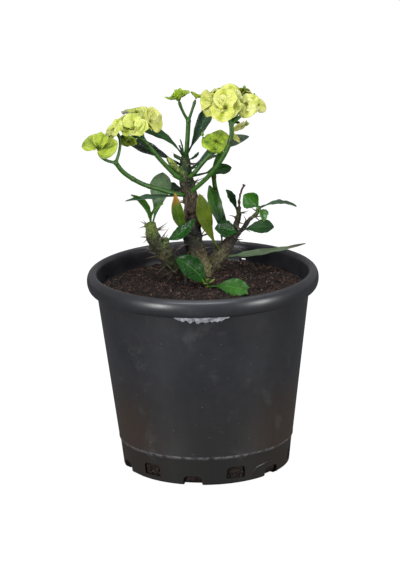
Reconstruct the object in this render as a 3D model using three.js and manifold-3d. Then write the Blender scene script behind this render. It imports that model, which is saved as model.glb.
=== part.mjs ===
// Potted euphorbia: spiny woody stems with leaves and yellow-green blooms in a black nursery pot.
// Millimetres, +Z up, origin on the pot's axis at the surface it stands on; -Y is the front.
import * as THREE from 'three';
import { mergeVertices } from 'three/addons/utils/BufferGeometryUtils.js';
import Module from 'manifold-3d';

const wasm = await Module();
wasm.setup();

// ---- driving dimensions -------------------------------------------------------------------------

const seatGap = 0.3;          // clearance where two pieces touch

// pot
const potHeight = 147;
const rimRadius = 85;         // outside of the rolled lip
const lipDepth = 12.5;        // height of the rolled lip
const wallFoot = 62.3;        // outer radius of the wall, 8 mm above the ground
const wallSlope = 0.126;      // growth of the radius for each mm of height
const wallThickness = 1.5;
const stepHeight = 22;        // fine line low on the wall, under which the skirt sits back
const floorHeight = 8;        // top of the raised middle of the floor
const footInner = 50.5;
const footOuter = 58.5;
const potSides = 36;
const soilSides = 32;
const drainCount = 6;         // notches, with one window between each two
const notch = { width: 14, height: 8, heading: -10 };
const drainWindow = { width: 14.5, low: 5, high: 14, heading: 20 };
const hanger = { count: 4, width: 5, height: 2, z: 133.2, heading: -23 };

// soil
const soilEdge = 132.6;       // height of the soil at the wall
const soilMound = 135;        // height of its middle
const soilHeap = { height: 4.6, reach: 17, at: [-2, 17] };   // further earth heaped round the trunk
const soilGrain = 1.1;        // height of its lumps

// plant
const bladeThickness = 0.7;
const bractThickness = 0.7;
const stalkRadius = 1.75;
const pedicelRadius = 1.15;
const spineLength = 7;
const spineRadius = 0.65;
const spineStep = 2.4;        // distance along a stem from one spine to the next
const goldenTurn = 137.5;     // degrees round the stem from one spine to the next
const seed = 11;
const touching = 0.01;        // mm3 that may reach into a neighbour's clearance

// ---- helpers ------------------------------------------------------------------------------------

const radians = THREE.MathUtils.degToRad;
const point = (p) => new THREE.Vector3(...p);
const curveThrough = (points) => new THREE.CatmullRomCurve3(points.map(point), false, 'centripetal');

// unit vector at a compass heading (from +X towards +Y) and a rise above the horizontal
function direction(heading, rise) {
  const h = radians(heading);
  const r = radians(rise);
  return new THREE.Vector3(Math.cos(h) * Math.cos(r), Math.sin(h) * Math.cos(r), Math.sin(r));
}

// value at a share from 0 to 1 of an evenly spaced list
function along(values, share) {
  const place = THREE.MathUtils.clamp(share, 0, 1) * (values.length - 1);
  const low = Math.min(Math.floor(place), values.length - 2);
  return THREE.MathUtils.lerp(values[low], values[low + 1], place - low);
}

function solidOf(geometry) {
  geometry.deleteAttribute('normal');
  geometry.deleteAttribute('uv');
  const merged = mergeVertices(geometry, 1e-4);
  return new wasm.Manifold(new wasm.Mesh({
    numProp: 3,
    vertProperties: Float32Array.from(merged.attributes.position.array),
    triVerts: Uint32Array.from(merged.index.array),
  }));
}

function geometryOf(solid) {
  const mesh = solid.getMesh();
  const geometry = new THREE.BufferGeometry();
  geometry.setAttribute('position', new THREE.BufferAttribute(Float32Array.from(mesh.vertProperties), 3));
  geometry.setIndex(new THREE.BufferAttribute(Uint32Array.from(mesh.triVerts), 1));
  return geometry;
}

const union = (solids) => wasm.Manifold.union(solids);

function largest(solid) {
  const pieces = solid.decompose();
  return pieces.reduce((best, piece) => (piece.volume() > best.volume() ? piece : best));
}

function reshape(geometry, move) {
  const place = geometry.attributes.position;
  const p = new THREE.Vector3();
  for (let i = 0; i < place.count; i += 1) {
    move(p.fromBufferAttribute(place, i));
    place.setXYZ(i, p.x, p.y, p.z);
  }
  return geometry;
}

// closed round limb along a curve, its radii evenly spaced along it
function limb({ path, radii, sides = 6, steps = 6, lumps = 0 }, grow = 0) {
  const curve = curveThrough(path);
  const frames = curve.computeFrenetFrames(steps);
  const bar = new THREE.CylinderGeometry(1, 1, 1, sides, steps);
  return solidOf(reshape(bar, (p) => {
    const share = p.y + 0.5;
    const ring = Math.round(share * steps);
    const across = frames.normals[ring];
    const other = frames.binormals[ring];
    const knob = 1 + lumps * Math.sin(ring * 2.4 + Math.atan2(p.z, p.x) * 2);
    const radius = along(radii, share) * knob + grow;
    const centre = curve.getPointAt(share);
    p.set(
      centre.x + (across.x * p.x - other.x * p.z) * radius,
      centre.y + (across.y * p.x - other.y * p.z) * radius,
      centre.z + (across.z * p.x - other.z * p.z) * radius,
    );
  }));
}

// closed thin sheet: place(u, v, side) gives the point at u from -1 to 1 across, v from 0 to 1
// along, on the upper (side 1) or lower (side -1) face; both faces are split alike
function sheet(columns, rows, place) {
  const points = [];
  const faces = [];
  const corner = (i, j, side) => (side > 0 ? 0 : (columns + 1) * (rows + 1)) + j * (columns + 1) + i;
  for (const side of [1, -1]) {
    for (let j = 0; j <= rows; j += 1) {
      for (let i = 0; i <= columns; i += 1) points.push(...place(i / columns * 2 - 1, j / rows, side));
    }
  }
  const quad = (a, b, c, d) => faces.push(a, b, c, a, c, d);
  for (let j = 0; j < rows; j += 1) {
    for (let i = 0; i < columns; i += 1) {
      quad(corner(i, j, 1), corner(i + 1, j, 1), corner(i + 1, j + 1, 1), corner(i, j + 1, 1));
      const under = [corner(i, j, -1), corner(i + 1, j, -1), corner(i + 1, j + 1, -1), corner(i, j + 1, -1)];
      faces.push(under[0], under[2], under[1], under[0], under[3], under[2]);
    }
    quad(corner(0, j, -1), corner(0, j, 1), corner(0, j + 1, 1), corner(0, j + 1, -1));
    const last = columns;
    quad(corner(last, j, 1), corner(last, j, -1), corner(last, j + 1, -1), corner(last, j + 1, 1));
  }
  for (let i = 0; i < columns; i += 1) {
    quad(corner(i, 0, -1), corner(i + 1, 0, -1), corner(i + 1, 0, 1), corner(i, 0, 1));
    quad(corner(i, rows, 1), corner(i + 1, rows, 1), corner(i + 1, rows, -1), corner(i, rows, -1));
  }
  const geometry = new THREE.BufferGeometry();
  geometry.setAttribute('position', new THREE.Float32BufferAttribute(points, 3));
  geometry.setIndex(faces);
  return solidOf(geometry);
}

const group = new THREE.Group();

// mesh whose geometry is kept round its own base point
function addMesh(name, solid, material, base = [0, 0, 0]) {
  const mesh = new THREE.Mesh(geometryOf(solid), material);
  mesh.geometry.translate(-base[0], -base[1], -base[2]);
  mesh.name = name;
  mesh.position.set(...base);
  group.add(mesh);
}

// ---- materials ----------------------------------------------------------------------------------

const look = (color, roughness) => new THREE.MeshStandardMaterial({ color, roughness, metalness: 0 });
const blackPlastic = look(0x1b1c1f, 0.5);
const pottingSoil = look(0x2c1f19, 1);
const bark = look(0x4f4636, 0.85);
const stalkGreen = look(0x2f5a1c, 0.45);
const leafGreen = look(0x1f4a1d, 0.35);
const leafYellow = look(0x76801f, 0.45);
const sproutGreen = look(0x9aa838, 0.5);
const bractYellow = look(0xdbe36a, 0.6);
const bractGreen = look(0x9cc437, 0.6);

// ---- pot ----------------------------------------------------------------------------------------

const wallRadius = (z) => wallFoot + wallSlope * (z - 8);
const innerRadius = (z) => wallRadius(z) - wallThickness;
const lipLow = potHeight - lipDepth;

// profile of the thin shell, from the axis out under the floor, up the wall and back inside
function shellProfile() {
  const lipTop = rimRadius - 4.5;
  return [
    [0, floorHeight - wallThickness], [footInner - 1.5, floorHeight - wallThickness],
    [footInner, 0], [footOuter, 0], [wallRadius(4) - 0.3, 3.5],
    [wallRadius(stepHeight) - 0.5, stepHeight - 0.4], [wallRadius(stepHeight) + 0.2, stepHeight],
    [wallRadius(lipLow - 2), lipLow - 2], [rimRadius - 1.5, lipLow], [rimRadius, potHeight - 6],
    [rimRadius - 1.4, potHeight - 1.6], [lipTop, potHeight], [lipTop - 3.2, potHeight - 2.2],
    [innerRadius(132) + 0.3, 132], [innerRadius(131) - 0.5, 131],
    [innerRadius(6) - 0.4, 6], [footOuter, wallThickness],
    [footInner + 1.5, wallThickness], [footInner, floorHeight], [0, floorHeight],
  ].map(([r, z]) => new THREE.Vector2(r, z));
}

const lathe = (profile, sides) => solidOf(new THREE.LatheGeometry(profile, sides).rotateX(Math.PI / 2));

// bar with an arched or rounded outline that runs outward from the pot's axis at a heading
// measured from the front towards +X
function radialBar({ width, low, high, corner, from, to, heading, arcs = 1 }) {
  const half = width / 2;
  const outline = new THREE.Shape();
  outline.moveTo(-half, low);
  outline.lineTo(half, low);
  outline.lineTo(half, high - corner);
  outline.absarc(half - corner, high - corner, corner, 0, Math.PI / 2);
  outline.lineTo(corner - half, high);
  outline.absarc(corner - half, high - corner, corner, Math.PI / 2, Math.PI);
  const depth = to - from;
  const bar = new THREE.ExtrudeGeometry(outline, { depth, bevelEnabled: false, curveSegments: arcs });
  bar.translate(0, 0, from).rotateX(Math.PI / 2).rotateZ(radians(heading));
  return solidOf(bar);
}

function notchBar(index, grow) {
  return radialBar({
    width: notch.width + 2 * grow, low: -1, high: notch.height + grow, corner: 4 + grow, arcs: grow ? 1 : 2,
    from: footInner - 3.5 - grow, to: 70, heading: notch.heading + index * 360 / drainCount,
  });
}

function potSolid() {
  const cutters = [];
  const roofs = [];
  const shellRoom = lathe([
    new THREE.Vector2(0, 0.9), new THREE.Vector2(58.8, 0.9), new THREE.Vector2(60.8, 4),
    new THREE.Vector2(60.8, 12), new THREE.Vector2(0, 12),
  ], potSides);
  for (let i = 0; i < drainCount; i += 1) {
    cutters.push(notchBar(i, 0));
    roofs.push(notchBar(i, wallThickness).intersect(shellRoom));
    cutters.push(radialBar({
      width: drainWindow.width, low: drainWindow.low, high: drainWindow.high, corner: 3,
      from: 59, to: 70, heading: drainWindow.heading + i * 360 / drainCount,
    }));
  }
  for (let i = 0; i < hanger.count; i += 1) {
    cutters.push(radialBar({
      width: hanger.width, low: hanger.z, high: hanger.z + hanger.height, corner: 0.6,
      from: 72, to: 82, heading: hanger.heading + i * 360 / hanger.count,
    }));
  }
  return union([lathe(shellProfile(), potSides), ...roofs]).subtract(union(cutters));
}

// ---- woody stems --------------------------------------------------------------------------------

const stems = {
  main: {
    path: [[1, 16, 98], [1, 16, 131], [0, 16, 141], [-2, 16, 148], [-5, 16, 157], [-7, 16, 169],
      [-7, 16, 181], [-7, 16, 194], [-10, 16, 206], [-11, 16, 218], [-11, 16, 230]],
    radii: [6.5, 7, 7.4, 7.2, 7, 6.9, 6.6, 5.7, 5.4, 4.8, 2.8], sides: 9, steps: 14, lumps: 0.05,
  },
  left: {
    path: [[-2, 14, 138], [-12, 9, 144], [-22, 4, 151], [-28, 0, 161], [-33, -2, 168], [-36, -3, 174],
      [-37, -4, 184]],
    radii: [5.4, 6.2, 6.4, 6.2, 5.8, 5.2, 3.8], sides: 8, steps: 8, lumps: 0.06,
  },
  stub: { path: [[-28, -1, 161], [-26, -4, 168], [-26, -6, 173]], radii: [3.2, 2.8, 1.6], steps: 3 },
  right: {
    path: [[2, 18, 137], [7, 22, 145], [13, 25, 151], [18, 27, 157], [24, 28, 165]],
    radii: [5, 5.4, 5.3, 4.8, 3], sides: 8, steps: 6, lumps: 0.06,
  },
  twigBack: {
    path: [[21, 28, 161], [25, 29, 171], [27, 30, 178], [28, 30, 186]],
    radii: [2.7, 2.3, 2.1, 1.5], steps: 4,
  },
  driedStalk: {
    path: [[28, 30, 184], [28, 29, 191], [30, 29, 199], [32, 29, 203]],
    radii: [1.2, 0.9, 0.8, 1.1], sides: 5, steps: 4,
  },
  twigFront: {
    path: [[21, 27.5, 161], [30, 26, 170], [35, 24, 177], [40, 22, 182], [43, 21, 188]],
    radii: [2.5, 1.8, 1.6, 1.5, 1.2], steps: 5,
  },
  sideBud: {
    path: [[-12, 15.5, 214], [-17, 13, 219], [-21, 11, 225], [-24, 10, 230]],
    radii: [2.2, 2.4, 2.7, 1.4], steps: 4,
  },
  sprout: { path: [[3, -7, 118], [3, -8, 130], [3, -9, 138]], radii: [1.6, 1.8, 1.2], steps: 3 },
};
const woodyNames = ['main', 'left', 'stub', 'right', 'twigBack', 'driedStalk', 'twigFront', 'sideBud'];
const spinyNames = ['main', 'left', 'stub', 'right', 'twigBack', 'twigFront'];

// ---- leaves -------------------------------------------------------------------------------------

// Each leaf starts inside its stem at a share of the stem's length. Its tip lies `length` away at
// the heading and rise; arch bows it upward, sweep sideways, roll turns the blade round its midrib
// and fold lifts its edges. widest is the share of the blade where it is widest.
const leaves = {
  leaf_crown_tall: {
    on: 'main', at: 0.985, heading: 18, rise: 60, length: 45, width: 13, roll: 30, arch: -0.5, widest: 0.66,
  },
  leaf_crown_back: { on: 'main', at: 0.96, heading: 96, rise: 1, length: 27, width: 11, roll: 60, arch: 3 },
  leaf_crown_left_arched: {
    on: 'main', at: 0.975, heading: -169, rise: 36, length: 42, width: 9.5, roll: -30, arch: 5, fold: 0.3,
  },
  leaf_crown_left_glossy: {
    on: 'main', at: 0.925, heading: -162, rise: 28, length: 51, width: 11.5, roll: -42, arch: 2, petiole: 0.22,
  },
  leaf_crown_bud: { on: 'main', at: 0.988, heading: -168, rise: 76, length: 14, width: 2.6, small: true },
  leaf_crown_small_right: {
    on: 'main', at: 0.985, heading: -48, rise: 24, length: 16, width: 5, arch: -3, small: true,
  },
  leaf_crown_small_left: {
    on: 'main', at: 0.98, heading: -124, rise: 24, length: 15.5, width: 5, arch: -2.5, small: true,
  },
  leaf_crown_right_long: {
    on: 'main', at: 0.885, heading: 26, rise: 23, length: 57, width: 13, roll: 25, arch: 5, petiole: 0.2,
  },
  leaf_right_round_behind: {
    on: 'main', at: 0.87, heading: 24, rise: 5, length: 37, width: 11, roll: 35, petiole: 0.42, widest: 0.62,
  },
  leaf_right_thin_behind: {
    on: 'main', at: 0.9, heading: 43, rise: 9, length: 41, width: 6, arch: 2, petiole: 0.3,
  },
  leaf_left_tall_behind: {
    on: 'left', at: 0.94, heading: 71, rise: 51, length: 45, width: 16, roll: 14, arch: -2, petiole: 0.05,
    widest: 0.76,
  },
  leaf_trunk_back: {
    on: 'main', at: 0.74, heading: 150, rise: 12, length: 30, width: 12, roll: -20, arch: 3,
  },
  leaf_left_level: {
    on: 'main', at: 0.765, heading: -143, rise: 6, length: 59, width: 9.5, roll: -2, arch: 1, widest: 0.5,
  },
  leaf_left_branch_curved: {
    on: 'left', at: 0.95, heading: -141, rise: 57, length: 33, width: 5, roll: -90, arch: 5, fold: 0.5,
    petiole: 0.06, widest: 0.5,
  },
  leaf_left_branch_small: {
    on: 'left', at: 0.95, heading: -21, rise: 62, length: 21, width: 3.6, roll: 40, arch: 4, small: true,
  },
  leaf_trunk_orange_tip: {
    on: 'main', at: 0.525, heading: -128, rise: 63, length: 42.5, width: 9.4, roll: -117, arch: -6,
    petiole: 0.28, widest: 0.52,
  },
  leaf_stub_glossy: {
    on: 'stub', at: 0.85, heading: -10, rise: 38, length: 27, width: 9.5, roll: 65, arch: -2, petiole: 0.06,
    widest: 0.5,
  },
  leaf_right_yellowing: {
    on: 'right', at: 0.56, heading: -124, rise: 62, length: 58, width: 12.5, roll: -115, arch: -4,
    petiole: 0.16, widest: 0.68,
  },
  leaf_right_dark_behind: {
    on: 'right', at: 0.6, heading: 137, rise: 76, length: 50, width: 10, roll: -45, arch: 3, petiole: 0.3,
  },
  leaf_right_round: {
    on: 'twigFront', at: 0.22, heading: -157, rise: 18, length: 19.5, width: 13, roll: -68, arch: 1.5,
    petiole: 0.1, widest: 0.52,
  },
  leaf_twig_dark: {
    on: 'twigBack', at: 0.72, heading: -149, rise: 65, length: 24, width: 7, roll: -65, arch: 1.5,
  },
  leaf_twig_folded: {
    on: 'twigFront', at: 0.97, heading: -165, rise: 43, length: 16, width: 14, roll: -98, arch: 0.5, fold: 0.5,
    petiole: 0.06,
  },
  leaf_twig_long: {
    on: 'twigFront', at: 0.97, heading: 8, rise: -1, length: 28, width: 9, roll: 6, arch: 3.5, petiole: 0.12,
  },
  leaf_twig_curled_front: {
    on: 'twigFront', at: 0.95, heading: -70, rise: -33, length: 13, width: 6, arch: 2.5, fold: 0.4,
    small: true,
  },
  leaf_twig_curled_right: {
    on: 'twigFront', at: 0.9, heading: -30, rise: -12, length: 9, width: 4, arch: 2, small: true,
  },
  leaf_right_blunt: {
    on: 'twigFront', at: 0.33, heading: -16, rise: 8, length: 25, width: 12, roll: 48, arch: 1, petiole: 0.06,
    widest: 0.66,
  },
  leaf_right_long_low: {
    on: 'right', at: 0.48, heading: 5, rise: 6, length: 65, width: 11.5, roll: 4, arch: -2.5, petiole: 0.2,
    widest: 0.34,
  },
  leaf_sprout_glossy: {
    on: 'sprout', at: 0.92, heading: -152, rise: 44, length: 36, width: 17, roll: -75, arch: 3,
    petiole: 0.08, widest: 0.52,
  },
  leaf_sprout_low: {
    on: 'sprout', at: 0.9, heading: -33, rise: 3, length: 37, width: 13.5, roll: 64, arch: 2, petiole: 0.22,
    widest: 0.6, notched: true,
  },
};
const yellowLeaves = ['leaf_trunk_orange_tip', 'leaf_right_yellowing'];

// half width of a blade at a share v of the leaf, from the petiole to a short point
function bladeHalf(leaf, v) {
  const petiole = leaf.petiole ?? 0.14;
  const stalk = 0.75;
  if (v <= petiole) return stalk;
  const share = (v - petiole) / (1 - petiole);
  const peak = Math.log(0.5) / Math.log(leaf.widest ?? 0.62);
  const bulge = Math.sin(Math.PI * share ** peak) ** 0.8;
  const tip = leaf.notched ? leaf.width * 0.22 * share : 0.5;
  return Math.max(leaf.width / 2 * bulge, tip, stalk * (1 - share));
}

function leafBody(leaf, grow = 0) {
  const stem = curveThrough(stems[leaf.on].path);
  const base = stem.getPointAt(leaf.at);
  const chord = direction(leaf.heading, leaf.rise).multiplyScalar(leaf.length);
  const ahead = chord.clone().normalize();
  const lift = new THREE.Vector3(0, 0, 1).addScaledVector(ahead, -ahead.z).normalize();
  const aside = new THREE.Vector3().crossVectors(ahead, lift);
  const midrib = new THREE.QuadraticBezierCurve3(
    base,
    base.clone().addScaledVector(chord, 0.5).addScaledVector(lift, 2 * (leaf.arch ?? 0)),
    base.clone().add(chord),
  );
  const face = lift.multiplyScalar(Math.cos(radians(leaf.roll ?? 0)))
    .addScaledVector(aside, Math.sin(radians(leaf.roll ?? 0)));
  const bothFaces = bladeThickness / 2 + grow;
  return sheet(leaf.small ? 2 : 4, leaf.small ? 4 : 6, (u, v, side) => {
    const run = midrib.getTangent(v);
    const up = face.clone().addScaledVector(run, -run.dot(face)).normalize();
    const across = new THREE.Vector3().crossVectors(run, up);
    const half = bladeHalf(leaf, v);
    const wave = leaf.small ? 0 : 0.45 * Math.sin(v * 9 + u * 2) * Math.abs(u);
    const height = (leaf.fold ?? 0.18) * half * u * u + wave * half / leaf.width * 2;
    const past = v === 0 ? -grow : (v === 1 ? grow : 0);
    const spot = midrib.getPoint(v).addScaledVector(run, past);
    if (leaf.notched && v > 0.95) spot.addScaledVector(run, -2.5 * (1 - Math.abs(u)));
    spot.addScaledVector(across, u * (half + grow)).addScaledVector(up, height + side * bothFaces);
    return spot.toArray();
  });
}

// ---- blooms -------------------------------------------------------------------------------------

// Each flower stalk starts inside its stem and ends in a node, from which pedicels run to its
// blooms. A bloom's throat is at `at` and looks along its heading and rise; spin turns its pair of
// bracts round that axis, 0 being level and 90 upright, and bend swings both towards one side.
const flowerStalks = {
  flower_stalk_left_low: {
    path: [[-10, 16, 200], [-16, 8, 202], [-29, 0, 208], [-43, -8, 215], [-56, -16, 226], [-61, -20, 234]],
    blooms: {
      bloom_left_outer: {
        at: [-72.4, -32, 247.9], heading: -92, rise: 60, spin: -24, bend: 24, size: 1.14, droop: -1,
      },
      bloom_left_outer_back: {
        at: [-62.4, -19, 258.5], heading: -149, rise: 42, spin: 22, bend: -24, size: 0.72,
      },
    },
  },
  flower_stalk_left_high: {
    path: [[-10, 16, 211], [-16, 11, 214], [-26, 4, 226], [-36, -2, 240], [-41, -5, 247]],
    blooms: {
      bloom_left_front: {
        at: [-47.5, -19, 259], heading: -99, rise: 54, spin: -52, bend: 26, size: 1, droop: -3,
      },
      bloom_left_right: {
        at: [-35.5, -9.5, 261.1], heading: -40, rise: 20, spin: 130, bend: -25, size: 0.88, droop: -3,
      },
      bloom_left_top: { at: [-45, -1, 266.5], heading: -80, rise: 70, spin: 5, size: 0.88 },
      bloom_left_side: { at: [-59.6, -2, 260.1], heading: 165, rise: 48, spin: 78, bend: 8, size: 0.66 },
      bloom_left_low: {
        at: [-51.7, -14.5, 247.8], heading: -118, rise: -34, spin: 20, bend: 18, size: 0.64, green: true,
      },
    },
  },
  flower_stalk_middle: {
    path: [[-11, 16, 222], [-9, 13, 242], [-8, 12, 256]],
    blooms: {
      bloom_middle: {
        at: [-15, 10, 273.5], heading: 185, rise: 76, spin: 90, size: 0.82, droop: -3, green: true, upright: 8,
      },
      bud_middle: { at: [-2, 14, 273], heading: 20, rise: 70, spin: 0, size: 0.4, droop: -4, green: true },
    },
  },
  flower_stalk_right_front: {
    path: [[-8, 16, 201], [-5, 10, 205], [5, 2, 216], [13, -4, 227], [20, -8, 240], [23, -9, 250],
      [23, -9, 258]],
    blooms: {
      bloom_right_front: {
        at: [19.1, -22.3, 273.6], heading: -90, rise: 33, spin: 80, bend: 18, size: 1.13, droop: -3,
      },
      bloom_right_left: {
        at: [9.6, -11.5, 274.8], heading: -142, rise: 22, spin: 140, bend: 34, size: 0.92, droop: -3,
      },
      bloom_right_right: {
        at: [34, -17.3, 274.6], heading: -110, rise: 24, spin: 74, bend: -26, size: 0.84, droop: 1,
      },
      bloom_right_far: { at: [43, -4.5, 270.9], heading: -48, rise: 22, spin: -14, bend: -4, size: 0.66 },
      bloom_right_top: { at: [22, -9, 279], heading: -95, rise: 48, spin: 90, size: 0.95 },
      bloom_right_top_left: { at: [9, 2, 278], heading: 150, rise: 48, spin: 0, size: 0.88 },
      bloom_right_top_right: { at: [34, 2, 279], heading: 60, rise: 55, spin: 90, size: 0.76 },
      bloom_right_back: { at: [25, 12, 274], heading: 85, rise: 25, spin: 20, size: 0.95 },
      bloom_right_low: { at: [30, -4, 255], heading: -45, rise: -46, spin: 85, size: 0.54 },
    },
  },
  flower_stalk_right_back: {
    path: [[20, 30, 158], [17, 36, 173], [13, 36, 189], [10, 32, 204], [10, 28, 214], [12, 24, 223],
      [15, 20, 230]],
    blooms: {
      bloom_low_back: { at: [26.5, 12, 243.5], heading: -10, rise: 40, spin: 90, size: 0.5 },
    },
  },
  flower_stalk_low_right: {
    path: [[-10, 15, 212], [-6, 10, 216], [1, 7, 225], [7, 6, 232]],
    blooms: {
      bloom_low_front: {
        at: [11.8, 4, 242.4], heading: -94, rise: 44, spin: -147, bend: -24, size: 0.9, green: true,
      },
    },
  },
};
const bractLength = 12.4;
const cupHeight = 3.2;        // from the pedicel's end to the lip of the throat
const throatRadius = 1.9;
const bloomSpokes = 16;

function bloomFrame(bloom) {
  const axis = direction(bloom.heading, bloom.rise);
  const level = new THREE.Vector3(0, 0, 1).cross(axis).normalize();
  const upright = new THREE.Vector3().crossVectors(axis, level);
  const base = point(bloom.at).addScaledVector(axis, -cupHeight * bloom.size);
  return { axis, level, upright, base };
}

// reach of the pair of bracts at an angle from their common line: two broad lobes and a notch
// between them on each side
const bractReach = (angle) => bractLength * (0.42 + 0.58 * Math.abs(Math.cos(angle)) ** 0.6);

// the rings of a bloom from the throat outward, as [radius, height]; both faces have as many
function bloomRings(bloom, angle, side) {
  const reach = bractReach(angle);
  const droop = (bloom.droop ?? 1.6) + 1.2 * Math.abs(Math.sin(angle));
  const outer = [[reach * 0.6, 4.4], [reach, 4.2 - droop]];
  if (side > 0) return [[throatRadius, cupHeight], ...outer];
  return [[1.3, 0], ...outer.map(([r, z]) => [r, z - bractThickness])];
}

// closed two-lobed disc: centre, then rings of spokes, on the upper and on the lower face
function bloomBody(bloom, grow = 0) {
  const frame = bloomFrame(bloom);
  const points = [];
  const faces = [];
  const spot = (radius, height, angle) => frame.base.clone()
    .addScaledVector(frame.level, radius * Math.cos(angle))
    .addScaledVector(frame.upright, radius * Math.sin(angle))
    .addScaledVector(frame.axis, height);
  const rings = 3;
  const perFace = 1 + rings * bloomSpokes;
  const corner = (ring, k, side) => (side > 0 ? 0 : perFace) + 1 + ring * bloomSpokes + k % bloomSpokes;
  for (const side of [1, -1]) {
    const middle = side > 0 ? cupHeight * 0.6 * bloom.size + grow : -grow;
    points.push(...spot(0, middle, 0).toArray());
    for (let ring = 0; ring < rings; ring += 1) {
      for (let k = 0; k < bloomSpokes; k += 1) {
        const angle = k / bloomSpokes * 2 * Math.PI;
        const [radius, height] = bloomRings(bloom, angle, side)[ring].map((size) => size * bloom.size);
        const turn = radians(bloom.spin + (bloom.bend ?? 0) * Math.cos(angle));
        const place = spot(radius + grow, height + side * grow, angle + turn);
        points.push(...place.toArray());
      }
    }
  }
  const quad = (a, b, c, d) => faces.push(a, b, c, a, c, d);
  for (let k = 0; k < bloomSpokes; k += 1) {
    faces.push(0, corner(0, k, 1), corner(0, k + 1, 1));
    faces.push(perFace, corner(0, k + 1, -1), corner(0, k, -1));
    for (let ring = 0; ring < rings - 1; ring += 1) {
      quad(corner(ring, k, 1), corner(ring + 1, k, 1), corner(ring + 1, k + 1, 1), corner(ring, k + 1, 1));
      faces.push(corner(ring, k, -1), corner(ring + 1, k + 1, -1), corner(ring + 1, k, -1));
      faces.push(corner(ring, k, -1), corner(ring, k + 1, -1), corner(ring + 1, k + 1, -1));
    }
    quad(corner(2, k, 1), corner(2, k, -1), corner(2, k + 1, -1), corner(2, k + 1, 1));
  }
  const geometry = new THREE.BufferGeometry();
  geometry.setAttribute('position', new THREE.Float32BufferAttribute(points, 3));
  geometry.setIndex(faces);
  const disc = solidOf(geometry);
  if (!bloom.upright) return disc;
  return union([disc, ...[-1, 1].map((side) => uprightLobe(frame, bloom, side, grow))]);
}

// small pointed lobe that stands up out of the throat, leaning to one side
function uprightLobe(frame, bloom, lean, grow) {
  const ahead = frame.axis.clone().addScaledVector(frame.upright, 0.32 * lean).normalize();
  const foot = frame.base.clone().addScaledVector(frame.axis, cupHeight * 0.4 * bloom.size);
  const out = new THREE.Vector3().crossVectors(frame.level, ahead);
  return sheet(2, 3, (u, v, side) => foot.clone()
    .addScaledVector(ahead, v * bloom.upright)
    .addScaledVector(frame.level, u * (0.6 + 1.5 * Math.sin(Math.PI * Math.min(v * 0.8 + 0.15, 1)) + grow))
    .addScaledVector(out, side * (bractThickness / 2 + grow) + 0.5 * u * u)
    .toArray());
}

function flowerStalkBody(stalk, grow = 0) {
  const node = point(stalk.path.at(-1));
  const main = { path: stalk.path, radii: [stalkRadius, stalkRadius], steps: stalk.path.length + 1 };
  const parts = [limb(main, grow)];
  for (const bloom of Object.values(stalk.blooms)) {
    const { axis, base } = bloomFrame(bloom);
    const end = base.clone().addScaledVector(axis, -seatGap);
    const elbow = end.clone().addScaledVector(axis, -0.45 * node.distanceTo(end));
    const path = new THREE.QuadraticBezierCurve3(node, elbow, end).getPoints(3).map((p) => p.toArray());
    parts.push(limb({ path, radii: [pedicelRadius, pedicelRadius], sides: 5, steps: 3 }, grow));
  }
  return union(parts);
}

// ---- placing the plant's pieces clear of each other ---------------------------------------------

const standing = [];          // pieces already placed, each grown by the seat gap

// piece made by body(grow), cut back where it would touch what already stands
function fitted(body) {
  let solid = body(0);
  for (const other of standing) {
    if (solid.intersect(other).volume() > touching) solid = solid.subtract(other);
  }
  standing.push(body(seatGap));
  return largest(solid);
}

const woodyTubes = (grow) => union(woodyNames.map((name) => limb(stems[name], grow)));

// spines in a spiral round each woody stem, out to its tip, left out where something is in the way
function spines(others) {
  const rand = randomFrom(seed);
  const found = [];
  for (const name of spinyNames) {
    const stem = stems[name];
    const curve = curveThrough(stem.path);
    const buried = name === 'main' ? 40 : 4;
    const reach = curve.getLength();
    let turn = rand() * 360;
    for (let run = buried; run < reach - 1; run += spineStep) {
      turn += goldenTurn;
      const share = run / reach;
      const radius = along(stem.radii, share);
      const size = (0.65 + 0.35 * rand()) * (radius > 3 ? 1 : 0.6);
      const spine = spineAt(curve, share, radius, turn, size);
      if (others.every((other) => spine.intersect(other).isEmpty())) found.push(spine);
    }
  }
  return found;
}

function spineAt(curve, share, radius, turn, size) {
  const run = curve.getTangentAt(share);
  const side = Math.abs(run.z) < 0.9 ? new THREE.Vector3(0, 0, 1) : new THREE.Vector3(1, 0, 0);
  side.addScaledVector(run, -run.dot(side)).normalize().applyAxisAngle(run, radians(turn));
  const pointing = side.clone().addScaledVector(run, 0.35).normalize();
  const length = spineLength * size + 1;
  const spine = new THREE.ConeGeometry(spineRadius * (0.5 + size / 2), length, 4);
  spine.translate(0, length / 2, 0);
  spine.applyQuaternion(new THREE.Quaternion().setFromUnitVectors(new THREE.Vector3(0, 1, 0), pointing));
  const root = curve.getPointAt(share).addScaledVector(side, radius * 0.92 - 1);
  return solidOf(spine.translate(root.x, root.y, root.z));
}

// repeatable random numbers from 0 to 1
function randomFrom(start) {
  let state = start;
  return () => {
    state = (state * 16807) % 2147483647;
    return state / 2147483647;
  };
}

// tiny unfolding leaves round the top of the sprout, fused to it
function sproutBody(grow = 0) {
  const tiny = [20, 115, 200, 290].map((heading, i) => leafBody(
    { on: 'sprout', at: 0.97, heading, rise: 36 + 8 * i, length: 7, width: 3.2, small: true }, grow,
  ));
  return union([limb(stems.sprout, grow), ...tiny]);
}

// ---- soil ---------------------------------------------------------------------------------------

// height of the lumpy surface, with the heap round the trunk, over its smooth mound
function lumps(x, y) {
  const away = Math.hypot(x - soilHeap.at[0], y - soilHeap.at[1]) / soilHeap.reach;
  const waves = Math.sin(x * 0.31 + 1.7 * Math.sin(y * 0.13)) * Math.sin(y * 0.27 + x * 0.09);
  return soilHeap.height * Math.exp(-(away ** 2))
    + soilGrain * (waves * 0.6 + 0.4 * Math.sin(x * 0.71 + y * 0.53));
}

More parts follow.
